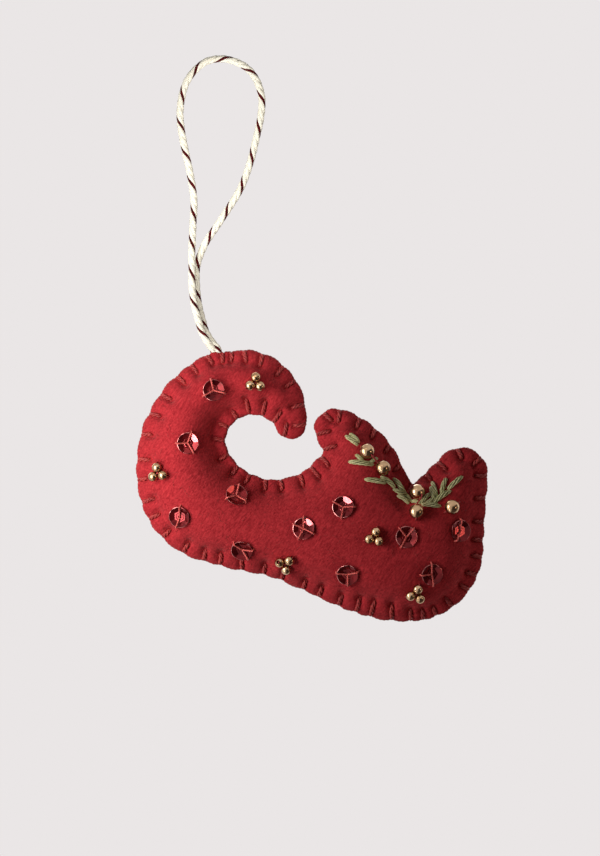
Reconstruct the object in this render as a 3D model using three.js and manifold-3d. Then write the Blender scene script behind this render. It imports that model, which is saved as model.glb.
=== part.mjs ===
// Felt elf boot: a stuffed holiday ornament sewn from two felt panels and hung on a loop of twine.
// Millimetres, +Z up, decorated face towards -Y. The origin is where a hook bears inside the loop's top.
import * as THREE from 'three';
import { mergeVertices } from 'three/addons/utils/BufferGeometryUtils.js';
import Module from 'manifold-3d';

const wasm = await Module();
wasm.setup();

// Felt, stuffing and the clearances that pieces keep to the felt
const FELT_THICKNESS = 1.3;
const PUFF = 12;
const RISE = 10;
const SEAM_GAP = 0.3;
const FILLING_GAP = 0.5;
const SEAT_GAP = 0.3;
const FELT_GRID = 4.4;
const STEEPEST_SEAT = 0.4;

// Boot pattern in the seam plane, x along the foot and z up: arcs in order round the edge, from the twine
const TOE_SWEEP = { x: 13.8, z: -31.1, r: 34, from: 114, to: 188 };
const TOE_BALL = { x: 3, z: -33.8, r: 22.8, from: 192, to: 258 };
const SOLE_FRONT = { x: 12, z: -60.2 };
const ARCH = { x: 22.5, z: -62.8, slope: -0.46, reach: 10 };
const HEEL = { x: 53, z: -52.3, r: 20, from: -95, to: 4 };
const BACK_CUFF = { x: 67.3, z: -32.7, r: 6.9, from: -12, to: 130 };
const NOTCH = { x: 54.3, z: -35.9 };
const FRONT_CUFF_BACK = { x: 25.7, z: -41.3, r: 27.6, from: 17, to: 66 };
const FRONT_CUFF = { x: 33.2, z: -20.5, r: 5.3, from: 74, to: 205 };
const INSTEP = { x: 30.4, z: -27.2 };
const CURL_FLOOR = { x: 16.9, z: -20, r: 14.5, from: -38, to: -150 };
const CURL_EYE = { x: 11, z: -24.1, r: 7.6, from: -170, to: -330 };
const TOE_TIP = { x: 21.2, z: -18.9, r: 4.2, from: -128, to: 10 };
const TOE_CROWN = { x: 7.7, z: -16.7, r: 17.4, from: 0, to: 84 };
const CORNER_EASE = 1.6;

// Blanket stitch round the edge
const EDGE_THREAD = 0.7;
const STITCH_PITCH = 4.9;
const STITCH_LEG = 3;
const LEG_SHARES = [1, 0.75, 0.5];

// Cup sequins, each tied down by straight threads from its centre hole
const SEQUIN_DIAMETER = 6;
const SEQUIN_FLAT = 2.9;
const SEQUIN_HOLE = 1;
const SEQUIN_CUP = 0.95;
const SEQUIN_FILM = 0.3;
const SEQUIN_FACETS = 6;
const SEWING_THREAD = 0.4;
const THREAD_REACH = 0.8;
const TIE_KNOT = 0.64;
const SEQUINS = [
  { x: 0.5, z: -10.3, arms: [105, 345, 210] },
  { x: -6.5, z: -24.3, arms: [55, 180, 300] },
  { x: 6.5, z: -38.6, arms: [80, 205, 325] },
  { x: -8.4, z: -44, arms: [85, 255] },
  { x: 8.2, z: -52.8, arms: [135, 8, 307] },
  { x: 24.8, z: -47.3, arms: [90, 156, 333, 243] },
  { x: 35.4, z: -41.6, arms: [151, 0, 262] },
  { x: 36.6, z: -59.4, arms: [170, 21, 273] },
  { x: 52.2, z: -49.6, arms: [129, 49, 240] },
  { x: 66.5, z: -47.9, arms: [90, 240] },
  { x: 59, z: -59.4, arms: [95, 180, 275] },
];

// Seed beads in threes, given by the middle of each three and the bearing of its first bead
const SEED_BEAD = 2.35;
const BEAD_BORE = 1;
const BEADS_PER_CLUSTER = 3;
const CLUSTER_SPREAD = (SEED_BEAD + SEAT_GAP) / 2 / Math.sin(Math.PI / BEADS_PER_CLUSTER);
const CLUSTERS = [
  { x: 11.7, z: -8.2, turn: 86 },
  { x: -14.5, z: -32.4, turn: 98 },
  { x: 19.7, z: -56.9, turn: 161 },
  { x: 43.7, z: -49.6, turn: 78 },
  { x: 54.9, z: -65, turn: 73 },
];

// Garland under the cuff: large beads on three threads, and a sprig of straight stitches
const GARLAND_BEAD = 4;
const LONE_BEAD_BEARING = 215;
const GARLAND_THREADS = [
  { name: 'front', beads: [{ x: 41.7, z: -26.5 }, { x: 46, z: -31 }] },
  { name: 'middle', beads: [{ x: 55.3, z: -37.4 }, { x: 54.9, z: -42.7 }] },
  { name: 'back', beads: [{ x: 64.5, z: -41.5 }] },
];
const SPRIG_THREAD = 1.2;
const SPRIG_ARCH = 0.3;
const SPRIG_LEAF_TOP = [
  [36.1, -22.5, 38.6, -24.7],
  [37.8, -22, 38.9, -23.8],
];
const SPRIG_LEAF_FRONT = [
  [37.1, -29.4, 43.5, -30.1],
  [38.8, -27.6, 40.8, -29.3],
  [42.4, -29.6, 44.5, -28.4],
];
const SPRIG_STEM = [
  [41.4, -34.1, 46.8, -35],
  [45.6, -33.5, 49.2, -36.4],
  [48.9, -34, 52.1, -38.7],
  [49, -36.9, 53.9, -40.1],
  [50, -38.6, 52.9, -40.6],
  [53.9, -40.1, 56.2, -40.5],
  [56.2, -40.5, 58.9, -37.9],
  [56.7, -40.9, 61.5, -41.3],
  [59.4, -35, 60.6, -39],
  [58.9, -36.3, 59.8, -39.8],
  [59.6, -40.3, 64.2, -37.1],
  [63, -34, 61.7, -38.2],
  [63.6, -36.6, 67.4, -33.3],
];

// Twine loop, from the seam up over the hook and back, and the knot that holds both ends in the boot
const TWINE = 2;
const TWINE_LEG_SPREAD = 2.3;
const TWINE_BULGE = 0.7;
const TWINE_STEP = 5;
const TWINE_SIDES = 8;
const KNOT_LENGTH = 5;
const KNOT_WIDTH = 4;
const KNOT_DEPTH = 8;
const SEAM_EXIT = { x: -2.7, z: -78.4 };
const SWING_RISE = 3;
const SWING_GAP = 0.6;
const LOOP_ROUTE = [
  [-4.9, -0.3, -73], [-6.2, -0.65, -69.8], [-7.5, -0.55, -65], [-8.05, -0.6, -60.5],
  [-8.1, -0.85, -54.5], [-8.1, -0.6, -50], [-7.8, -0.2, -43], [-7.6, 0, -37], [-8.6, 0, -30],
  [-9.9, 0, -24], [-10.9, 0, -18.6], [-11.35, 0, -13.9], [-10.85, 0, -9.3], [-9.6, 0, -5.3],
  [-7.4, 0, -2.2], [-4.4, 0, 0.2], [-1, 0, 1], [2.2, 0, 0.7], [5.6, 0, -0.7], [8.2, 0, -3],
  [10, 0, -6.4], [10.8, 0, -10.5], [10.3, 0, -15.6], [9.2, 0, -20.6], [7.6, 0, -27],
  [5.2, 0, -33.6], [2, 0, -39], [-1.6, 0.2, -44.4], [-4.4, 0.5, -48.6], [-6.2, 0.85, -53],
  [-6.75, 0.85, -56.4], [-6.1, 0.6, -61], [-5.5, 0.55, -65.5], [-4.5, 0.65, -70], [-3, 0.3, -73],
];

const RED_FELT = material(0xa8262c, 0.95);
const WHITE_FILLING = material(0xf1eee6, 1);
const RED_THREAD = material(0xb83a3c, 0.6);
const RED_SEQUIN = material(0x7a141c, 0.15);
const GOLD_BEAD = material(0xb59a62, 0.3, 0.8);
const GREEN_FLOSS = material(0x8c9558, 0.7);
const CREAM_TWINE = material(0xece6d0, 0.85);

function material(color, roughness, metalness = 0) {
  return new THREE.MeshStandardMaterial({ color, roughness, metalness });
}

const rad = THREE.MathUtils.degToRad;

// Solids

function solid(geometry) {
  const bare = geometry.clone();
  bare.deleteAttribute('normal');
  bare.deleteAttribute('uv');
  const welded = mergeVertices(bare, 1e-4);
  const vertProperties = new Float32Array(welded.attributes.position.array);
  const triVerts = new Uint32Array(welded.index.array);
  return new wasm.Manifold(new wasm.Mesh({ numProp: 3, vertProperties, triVerts }));
}

function geometryOf(body) {
  const mesh = body.getMesh();
  const geometry = new THREE.BufferGeometry();
  geometry.setAttribute('position', new THREE.BufferAttribute(mesh.vertProperties, 3));
  geometry.setIndex(new THREE.BufferAttribute(mesh.triVerts, 1));
  geometry.computeVertexNormals();
  return geometry;
}

function joined(geometries) {
  return geometries.map(solid).reduce((whole, next) => whole.add(next));
}

// A smooth thread route whose steps fall on its own points
class ThreadRoute extends THREE.CatmullRomCurve3 {
  getPointAt(share) {
    return this.getPoint(share);
  }

  getTangentAt(share) {
    return this.getTangent(share);
  }
}

function tube(extrudePath, steps, diameter, sides) {
  const section = new THREE.Shape();
  for (let i = 0; i < sides; i += 1) {
    const angle = 2 * Math.PI * i / sides;
    const corner = new THREE.Vector2(Math.cos(angle), Math.sin(angle)).multiplyScalar(diameter / 2);
    section[i === 0 ? 'moveTo' : 'lineTo'](corner.x, corner.y);
  }
  section.closePath();
  return new THREE.ExtrudeGeometry(section, { steps, extrudePath });
}

function thread(points, diameter, sides = 4) {
  return tube(new ThreadRoute(points), points.length - 1, diameter, sides);
}

function piece(name, body, look) {
  const geometry = body.isBufferGeometry ? body : geometryOf(body);
  const mesh = new THREE.Mesh(geometry, look);
  mesh.name = name;
  return mesh;
}

// Boot pattern

function arcPoint(arc, angle) {
  return new THREE.Vector2(arc.x + arc.r * Math.cos(rad(angle)), arc.z + arc.r * Math.sin(rad(angle)));
}

function addArc(shape, arc) {
  shape.absarc(arc.x, arc.z, arc.r, rad(arc.from), rad(arc.to), arc.to < arc.from);
}

function addEasedCorner(shape, corner, nextArc) {
  const from = shape.currentPoint.clone();
  const next = arcPoint(nextArc, nextArc.from);
  const tip = new THREE.Vector2(corner.x, corner.z);
  const before = tip.clone().add(from.sub(tip).setLength(CORNER_EASE));
  const after = tip.clone().add(next.sub(tip).setLength(CORNER_EASE));
  shape.lineTo(before.x, before.y);
  shape.quadraticCurveTo(tip.x, tip.y, after.x, after.y);
}

function addSole(shape) {
  const heel = arcPoint(HEEL, HEEL.from);
  const dip = ARCH.slope * ARCH.reach;
  shape.bezierCurveTo(SOLE_FRONT.x, SOLE_FRONT.z, ARCH.x - ARCH.reach, ARCH.z - dip, ARCH.x, ARCH.z);
  shape.bezierCurveTo(ARCH.x + ARCH.reach, ARCH.z + dip, heel.x - ARCH.reach, heel.y, heel.x, heel.y);
}

function bootPattern() {
  const shape = new THREE.Shape();
  const start = arcPoint(TOE_SWEEP, TOE_SWEEP.from);
  shape.moveTo(start.x, start.y);
  addArc(shape, TOE_SWEEP);
  addArc(shape, TOE_BALL);
  addSole(shape);
  addArc(shape, HEEL);
  addArc(shape, BACK_CUFF);
  addEasedCorner(shape, NOTCH, FRONT_CUFF_BACK);
  addArc(shape, FRONT_CUFF_BACK);
  addArc(shape, FRONT_CUFF);
  addEasedCorner(shape, INSTEP, CURL_FLOOR);
  addArc(shape, CURL_FLOOR);
  addArc(shape, CURL_EYE);
  addArc(shape, TOE_TIP);
  addArc(shape, TOE_CROWN);
  shape.closePath();
  return shape;
}

const RIM_POINTS = 480;
const pattern = bootPattern();
const rimLength = pattern.getLength();
const rim = pattern.getSpacedPoints(RIM_POINTS).slice(0, RIM_POINTS);
const rimBox = new THREE.Box2().setFromPoints(rim);
const seamExit = arcPoint(TOE_SWEEP, TOE_SWEEP.from);

// Grid of the felt's facets, one cell wider than the boot on every side
const gridSize = rimBox.getSize(new THREE.Vector2()).addScalar(2 * FELT_GRID);
const gridStart = rimBox.min.clone().subScalar(FELT_GRID);
const gridCount = gridSize.clone().divideScalar(FELT_GRID).ceil();
const gridCell = gridSize.clone().divide(gridCount);

// Swelling of a panel: a soft distance to the edge, taken over the whole rim, that rises and levels off

function edgeDistance(x, z) {
  let pull = 0;
  let inside = false;
  rim.forEach((a, i) => {
    const b = rim[(i + 1) % RIM_POINTS];
    const reach = Math.hypot(a.x - x, a.y - z, SEAM_GAP);
    pull += rimLength / RIM_POINTS / reach ** 3;
    const crosses = (a.y > z) !== (b.y > z) && x < a.x + (b.x - a.x) * (z - a.y) / (b.y - a.y);
    inside = crosses ? !inside : inside;
  });
  return (inside ? 1 : -1) * Math.sqrt(2 / pull);
}

function innerHeight(x, z) {
  const fromTwine = Math.hypot(x - seamExit.x, z - seamExit.y) / TWINE_LEG_SPREAD;
  const bulge = TWINE_BULGE * Math.exp(-fromTwine * fromTwine / 2);
  const distance = edgeDistance(x, z);
  const swell = Math.sign(distance) * PUFF * (1 - Math.exp(-Math.abs(distance) / RISE));
  return SEAM_GAP / 2 + swell + bulge;
}

function outerHeight(x, z) {
  return innerHeight(x, z) + FELT_THICKNESS;
}

// Height of the faceted felt: the higher of the two ways that a grid cell can be split
function feltHeight(x, z) {
  const column = Math.floor((x - gridStart.x) / gridCell.x);
  const row = Math.floor((z - gridStart.y) / gridCell.y);
  const left = gridStart.x + column * gridCell.x;
  const foot = gridStart.y + row * gridCell.y;
  const a = outerHeight(left, foot);
  const b = outerHeight(left + gridCell.x, foot);
  const c = outerHeight(left, foot + gridCell.y);
  const d = outerHeight(left + gridCell.x, foot + gridCell.y);
  const u = (x - left) / gridCell.x;
  const v = (z - foot) / gridCell.y;
  const rising = u > v ? a + (b - a) * u + (d - b) * v : a + (d - c) * u + (c - a) * v;
  const low = a + (b - a) * u + (c - a) * v;
  const high = d + (c - d) * (1 - u) + (b - d) * (1 - v);
  return Math.max(rising, u + v < 1 ? low : high);
}

function frontNormal(x, z) {
  const h = FELT_GRID / 4;
  const slopeX = (outerHeight(x + h, z) - outerHeight(x - h, z)) / (2 * h);
  const slopeZ = (outerHeight(x, z + h) - outerHeight(x, z - h)) / (2 * h);
  return new THREE.Vector3(-slopeX, -1, -slopeZ).normalize();
}

// A point above the felt by a lift measured square to it, on the front or, with side +1, on the back
function onFelt(x, z, lift, side = -1) {
  const steep = Math.max(-frontNormal(x, z).y, STEEPEST_SEAT);
  return new THREE.Vector3(x, side * (feltHeight(x, z) + lift / steep), z);
}

// The centre of a ball that rests on the front panel over a given place
function restingBall(x, z, radius) {
  let height = feltHeight(x, z) + radius;
  for (const share of [0.3, 0.6, 0.85]) {
    for (let turn = 0; turn < 360; turn += 30) {
      const reach = radius * share;
      const under = feltHeight(x + reach * Math.cos(rad(turn)), z + reach * Math.sin(rad(turn)));
      height = Math.max(height, under + Math.sqrt(radius * radius - reach * reach));
    }
  }
  return new THREE.Vector3(x, -height, z);
}

// Panels and filling

const DEEP = 2 * (PUFF + FELT_THICKNESS);

function slab(frontY, backY) {
  const middle = rimBox.getCenter(new THREE.Vector2());
  const geometry = new THREE.BoxGeometry(gridSize.x, 1, gridSize.y, gridCount.x, 1, gridCount.y);
  geometry.translate(middle.x, 0, middle.y);
  const points = geometry.attributes.position;
  for (let i = 0; i < points.count; i += 1) {
    const y = points.getY(i) < 0 ? frontY : backY;
    points.setY(i, y(points.getX(i), points.getZ(i)));
  }
  return solid(geometry);
}

function patternPrism(frontY, backY) {
  const depth = backY - frontY;
  const prism = new THREE.ExtrudeGeometry(pattern, { depth, bevelEnabled: false, curveSegments: 4 });
  return solid(prism.rotateX(Math.PI / 2).translate(0, backY, 0));
}

function feltPanel(side, channel) {
  const inner = (x, z) => side * innerHeight(x, z);
  const outer = (x, z) => side * outerHeight(x, z);
  const sheet = side < 0 ? slab(outer, inner) : slab(inner, outer);
  const cut = side < 0 ? patternPrism(-DEEP, -SEAM_GAP / 2) : patternPrism(SEAM_GAP / 2, DEEP);
  return sheet.intersect(cut).subtract(channel);
}

function fibreFilling(channel) {
  const swollen = (x, z) => innerHeight(x, z) - FILLING_GAP;
  const frontCover = slab(() => -2 * DEEP, (x, z) => -swollen(x, z));
  const backCover = slab(swollen, () => 2 * DEEP);
  return patternPrism(-DEEP, DEEP).subtract(frontCover).subtract(backCover).subtract(channel);
}

// Twine: both ends pass through the seam side by side and end in one knot inside the boot

const inward = new THREE.Vector2(TOE_SWEEP.x, TOE_SWEEP.z).sub(seamExit).normalize();

function seamPoint(along, depth) {
  const x = seamExit.x - inward.y * along + inward.x * depth;
  const z = seamExit.y + inward.x * along + inward.y * depth;
  return new THREE.Vector3(x, 0, z);
}

function tailRoute(side) {
  const spread = side * TWINE_LEG_SPREAD / 2;
  const top = SWING_RISE - SWING_GAP / 2 - TWINE / 2;
  return [
    new THREE.Vector3(seamExit.x + spread, 0, seamExit.y + top),
    seamPoint(spread, 0),
    seamPoint(spread, KNOT_DEPTH / 2),
    seamPoint(spread / 3, KNOT_DEPTH),
  ];
}

function twineEnds(growth) {
  const knot = new THREE.SphereGeometry(0.5, TWINE_SIDES, 6);
  knot.scale(KNOT_LENGTH + 2 * growth, KNOT_WIDTH + 2 * growth, KNOT_WIDTH + 2 * growth);
  knot.translate(...seamPoint(0, KNOT_DEPTH));
  const bodies = [knot];
  for (const side of [-1, 1]) {
    const route = tailRoute(side);
    const end = new THREE.SphereGeometry(TWINE / 2 + growth, TWINE_SIDES, 4);
    bodies.push(thread(route, TWINE + 2 * growth, TWINE_SIDES));
    bodies.push(end.translate(...route[0]));
  }
  return joined(bodies);
}

function hangingLoop() {
  const foot = SEAM_EXIT.z + SWING_RISE + SWING_GAP / 2 + TWINE / 2;
  const left = new THREE.Vector3(SEAM_EXIT.x - TWINE_LEG_SPREAD / 2, 0, foot);
  const right = new THREE.Vector3(SEAM_EXIT.x + TWINE_LEG_SPREAD / 2, 0, foot);
  const route = [left, ...LOOP_ROUTE.map((p) => new THREE.Vector3(...p)), right];
  const curve = new THREE.CatmullRomCurve3(route);
  const steps = Math.round(curve.getLength() / TWINE_STEP);
  const ends = [left, right].map((p) => new THREE.SphereGeometry(TWINE / 2, TWINE_SIDES, 4).translate(...p));
  return joined([tube(curve, steps, TWINE, TWINE_SIDES), ...ends]);
}

// Sewn-on pieces

function sequinCup() {
  const profile = [
    new THREE.Vector2(SEQUIN_HOLE / 2, 0),
    new THREE.Vector2(SEQUIN_FLAT / 2, 0),
    new THREE.Vector2(SEQUIN_DIAMETER / 2, SEQUIN_CUP),
    new THREE.Vector2(SEQUIN_FLAT / 2, SEQUIN_FILM),
    new THREE.Vector2(SEQUIN_HOLE / 2, SEQUIN_FILM),
    new THREE.Vector2(SEQUIN_HOLE / 2, 0),
  ];
  const cup = new THREE.LatheGeometry(profile, 2 * SEQUIN_FACETS);
  const facet = 2 * Math.PI / SEQUIN_FACETS;
  const points = cup.attributes.position;
  for (let i = 0; i < points.count; i += 1) {
    const radius = Math.hypot(points.getX(i), points.getZ(i));
    const angle = Math.atan2(points.getX(i), points.getZ(i)) + 2 * Math.PI;
    const flat = Math.cos(facet / 2) / Math.cos(angle % facet - facet / 2);
    const pull = Math.abs(radius - SEQUIN_FLAT / 2) < 0.01 ? flat : 1;
    points.setX(i, points.getX(i) * pull);
    points.setZ(i, points.getZ(i) * pull);
  }
  return cup.rotateX(Math.PI / 2);
}

// Threads that run out from one small knot
function knottedThreads(knot, routes) {
  const ball = new THREE.IcosahedronGeometry(TIE_KNOT / 2).translate(...knot);
  const threads = routes.map((route) => {
    const start = route[0].clone().sub(knot).setLength(0.75 * TIE_KNOT / 2).add(knot);
    return thread([start, ...route], SEWING_THREAD);
  });
  return joined([ball, ...threads]);
}

function sewnSequin(spot, number) {
  const out = frontNormal(spot.x, spot.z);
  const felt = onFelt(spot.x, spot.z, 0);
  const seat = new THREE.Group();
  seat.position.copy(felt).addScaledVector(out, SEAT_GAP);
  seat.quaternion.setFromUnitVectors(new THREE.Vector3(0, 0, 1), out);
  seat.add(piece(`sequin_${number}`, sequinCup(), RED_SEQUIN));
  seat.updateMatrix();

  const over = SEAT_GAP + SEWING_THREAD / 2;
  const centre = new THREE.Vector3(0, 0, SEQUIN_FILM + over).applyMatrix4(seat.matrix);
  const root = felt.clone().addScaledVector(out, SEAT_GAP);
  const arms = spot.arms.map((bearing) => {
    const along = new THREE.Vector3(Math.cos(rad(bearing)), Math.sin(rad(bearing)), 0);
    const rimTop = along.clone().multiplyScalar(SEQUIN_DIAMETER / 2);
    rimTop.z = SEQUIN_CUP + over;
    const reach = SEQUIN_DIAMETER / 2 + THREAD_REACH;
    const end = onFelt(spot.x + reach * along.x, spot.z + reach * along.y, over);
    return [rimTop.applyMatrix4(seat.matrix), end];
  });
  const tie = piece(`sequin_tie_${number}`, knottedThreads(centre, [[root], ...arms]), RED_THREAD);
  return [seat, tie];
}

function beadRing(diameter, sides, rings) {
  const radius = diameter / 2;
  const mouth = Math.acos(BEAD_BORE / diameter);
  const profile = [];
  for (let i = 0; i <= rings; i += 1) {
    const angle = mouth * (2 * i / rings - 1);
    profile.push(new THREE.Vector2(radius * Math.cos(angle), radius * Math.sin(angle)));
  }
  profile.push(profile[0].clone());
  return new THREE.LatheGeometry(profile, sides);
}

function bead(name, diameter, sides, centre, along) {
  const ring = piece(name, beadRing(diameter, sides, 6), GOLD_BEAD);
  ring.position.copy(centre);
  ring.quaternion.setFromUnitVectors(new THREE.Vector3(0, 1, 0), along);
  return ring;
}

// Thread that leaves a bead along its bore and turns down to the felt, or stops at the mouth past the edge
function threadEnd(centre, along, diameter) {
  const mouth = centre.clone().addScaledVector(along, diameter / 2);
  const exit = mouth.clone().addScaledVector(along, SEWING_THREAD);
  const overFelt = edgeDistance(exit.x, exit.z) > THREAD_REACH;
  return overFelt ? [exit, onFelt(exit.x, exit.z, SEAT_GAP)] : [mouth];
}

function beadCluster(cluster, number) {
  const spots = [];
  for (let i = 0; i < BEADS_PER_CLUSTER; i += 1) {
    const bearing = rad(cluster.turn + 360 * i / BEADS_PER_CLUSTER);
    const x = cluster.x + CLUSTER_SPREAD * Math.cos(bearing);
    const z = cluster.z + CLUSTER_SPREAD * Math.sin(bearing);
    spots.push(restingBall(x, z, SEED_BEAD / 2 + SEAT_GAP));
  }
  const middle = new THREE.Vector3();
  spots.forEach((spot) => middle.addScaledVector(spot, 1 / BEADS_PER_CLUSTER));
  const beads = [];
  const arms = [];
  spots.forEach((spot, i) => {
    const along = spot.clone().sub(middle).normalize();
    beads.push(bead(`seed_bead_${number}_${i + 1}`, SEED_BEAD, 8, spot, along));
    arms.push(threadEnd(spot, along, SEED_BEAD));
  });
  return [...beads, piece(`seed_bead_tie_${number}`, knottedThreads(middle, arms), RED_THREAD)];
}

function garlandThread({ name, beads }) {
  const spots = beads.map((spot) => restingBall(spot.x, spot.z, GARLAND_BEAD / 2 + SEAT_GAP));
  const first = spots[0];
  const last = spots[spots.length - 1];
  const bearing = rad(LONE_BEAD_BEARING);
  const along = new THREE.Vector3(Math.cos(bearing), 0, Math.sin(bearing));
  if (spots.length > 1) along.subVectors(last, first).normalize();
  const lead = threadEnd(first, along.clone().negate(), GARLAND_BEAD).reverse();
  const route = [...lead, ...spots, ...threadEnd(last, along, GARLAND_BEAD)];
  const pieces = spots.map((spot, i) => bead(`garland_bead_${name}_${i + 1}`, GARLAND_BEAD, 10, spot, along));
  return [...pieces, piece(`garland_thread_${name}`, thread(route, SEWING_THREAD), RED_THREAD)];
}

function sprigPart(name, stitches) {
  const lift = SEAT_GAP + SPRIG_THREAD / 2;
  const strands = stitches.map(([x0, z0, x1, z1]) => thread([
    onFelt(x0, z0, lift),
    onFelt((x0 + x1) / 2, (z0 + z1) / 2, lift + SPRIG_ARCH),
    onFelt(x1, z1, lift),
  ], SPRIG_THREAD, 6));
  return piece(name, joined(strands), GREEN_FLOSS);
}

// Blanket stitch: one thread along the edge, and at each stitch a leg over the edge on both panels

const sewnOn = [
  ...SEQUINS.map(({ x, z }) => ({ x, z, reach: SEQUIN_DIAMETER / 2 + THREAD_REACH })),
  ...CLUSTERS.map(({ x, z }) => ({ x, z, reach: CLUSTER_SPREAD + SEED_BEAD / 2 + THREAD_REACH / 2 })),
  ...GARLAND_THREADS.flatMap(({ beads }) => beads.map(({ x, z }) => ({ x, z, reach: GARLAND_BEAD / 2 }))),
  ...[SPRIG_LEAF_TOP, SPRIG_LEAF_FRONT, SPRIG_STEM].flat().flatMap(([x0, z0, x1, z1]) => [
    { x: x0, z: z0, reach: SPRIG_THREAD },
    { x: (x0 + x1) / 2, z: (z0 + z1) / 2, reach: SPRIG_THREAD },
    { x: x1, z: z1, reach: SPRIG_THREAD },
  ]),
];

function rimPlace(share) {
  const point = pattern.getPoint(share);
  const tangent = pattern.getTangent(share);
  return { point, inward: new THREE.Vector2(-tangent.y, tangent.x) };
}

function legLength({ point, inward: into }) {
  const clear = LEG_SHARES.find((part) => {
    const end = point.clone().addScaledVector(into, STITCH_LEG * part);
    return sewnOn.every(({ x, z, reach }) => Math.hypot(end.x - x, end.y - z) > reach + EDGE_THREAD);
  });
  return STITCH_LEG * (clear ?? 0);
}

// The shoulder and tip of a leg, each with the direction that faces away from the felt
function legSections({ point, inward: into }, length, side) {
  const lift = SEAT_GAP + EDGE_THREAD / 2;
  const overEdge = point.clone().addScaledVector(into, -lift / 2);
  const tip = point.clone().addScaledVector(into, length);
  const offEdge = new THREE.Vector3(-into.x, side, -into.y).normalize();
  const offFelt = frontNormal(tip.x, tip.y);
  offFelt.y *= -side;
  const shoulder = side * (feltHeight(point.x, point.y) + lift);
  return [
    { centre: new THREE.Vector3(overEdge.x, shoulder, overEdge.y), off: offEdge },
    { centre: onFelt(tip.x, tip.y, lift, side), off: offFelt },
  ];
}

function edgeStitches() {
  const half = EDGE_THREAD / 2;
  const margin = TWINE_LEG_SPREAD / 2 + TWINE;
  const run = rimLength - 2 * margin;
  const count = Math.round(run / STITCH_PITCH);
  const pitch = run / count;
  const points = [];
  const index = [];
  const vertex = (p) => points.push(p.x, p.y, p.z) / 3 - 1;
  const quad = (a, b, c, d) => index.push(a, c, b, a, d, c);

  const grow = (base, place, length, side) => {
    let loop = base;
    const along = new THREE.Vector3(place.inward.y, 0, -place.inward.x).multiplyScalar(half);
    for (const { centre, off } of legSections(place, length, side)) {
      const corners = [[-1, 1], [-1, -1], [1, -1], [1, 1]].map(([fore, away]) => centre.clone()
        .addScaledVector(along, fore)
        .addScaledVector(off, -side * away * half));
      const next = corners.map(vertex);
      loop.forEach((v, k) => quad(v, loop[(k + 1) % 4], next[(k + 1) % 4], next[k]));
      loop = next;
    }
    quad(...loop);
  };

  const section = (distance) => {
    const { point, inward: into } = rimPlace(distance / rimLength);
    const corners = [[-1, -1], [1, -1], [1, 1], [-1, 1]].map(([inside, side]) => {
      const spot = point.clone().addScaledVector(into, inside * half - half - SEAT_GAP);
      return new THREE.Vector3(spot.x, side * half, spot.y);
    });
    return corners.map(vertex);
  };

  let last = null;
  for (let i = 0; i <= count; i += 1) {
    const centre = margin + i * pitch;
    const place = rimPlace(centre / rimLength);
    const a = section(centre - half);
    const b = section(centre + half);
    const frontLength = legLength(place);
    if (i === 0) quad(a[3], a[2], a[1], a[0]);
    if (i > 0) last.forEach((v, k) => quad(v, last[(k + 1) % 4], a[(k + 1) % 4], a[k]));
    quad(a[1], a[2], b[2], b[1]);
    quad(a[3], a[0], b[0], b[3]);
    if (frontLength > 0) grow([a[0], a[1], b[1], b[0]], place, frontLength, -1);
    else quad(a[0], a[1], b[1], b[0]);
    grow([a[2], a[3], b[3], b[2]], place, STITCH_LEG, 1);
    last = b;
    if (i < count) {
      const middle = section(centre + pitch / 2);
      b.forEach((v, k) => quad(v, b[(k + 1) % 4], middle[(k + 1) % 4], middle[k]));
      last = middle;
    }
  }
  quad(...last);

  const geometry = new THREE.BufferGeometry();
  geometry.setAttribute('position', new THREE.Float32BufferAttribute(points, 3));
  geometry.setIndex(index);
  geometry.computeVertexNormals();
  return geometry;
}

// Assembly

const channel = twineEnds(SEAT_GAP);
const boot = new THREE.Group();
boot.position.set(SEAM_EXIT.x - seamExit.x, 0, SEAM_EXIT.z - seamExit.y);
boot.add(piece('front_felt_panel', feltPanel(-1, channel), RED_FELT));
boot.add(piece('back_felt_panel', feltPanel(1, channel), RED_FELT));
boot.add(piece('fibre_filling', fibreFilling(channel), WHITE_FILLING));
boot.add(piece('edge_stitch_thread', edgeStitches(), RED_THREAD));
boot.add(piece('twine_knot', twineEnds(0), CREAM_TWINE));
SEQUINS.forEach((spot, i) => boot.add(...sewnSequin(spot, i + 1)));
CLUSTERS.forEach((cluster, i) => boot.add(...beadCluster(cluster, i + 1)));
GARLAND_THREADS.forEach((thread) => boot.add(...garlandThread(thread)));
boot.add(sprigPart('sprig_leaf_top', SPRIG_LEAF_TOP));
boot.add(sprigPart('sprig_leaf_front', SPRIG_LEAF_FRONT));
boot.add(sprigPart('sprig_stem', SPRIG_STEM));

const ornament = new THREE.Group();
ornament.add(piece('hanging_loop', hangingLoop(), CREAM_TWINE));
ornament.add(boot);

export default ornament;
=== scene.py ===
# %% [markdown]
# # A felt boot ornament
# The ornament is a small elf boot of red wool felt. Two panels are sewn together with blanket stitch,
# stuffed, trimmed with sequins, beads and a green sprig, and hung on a loop of baker's twine.
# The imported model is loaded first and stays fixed: every piece below takes its place from it.
# Sizes are written in millimetres, as a maker would measure them, and turned into metres at the end.

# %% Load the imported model
import math
import random

import bmesh
import bpy
import numpy as np
from mathutils import Matrix, Vector
from mathutils.bvhtree import BVHTree


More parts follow.
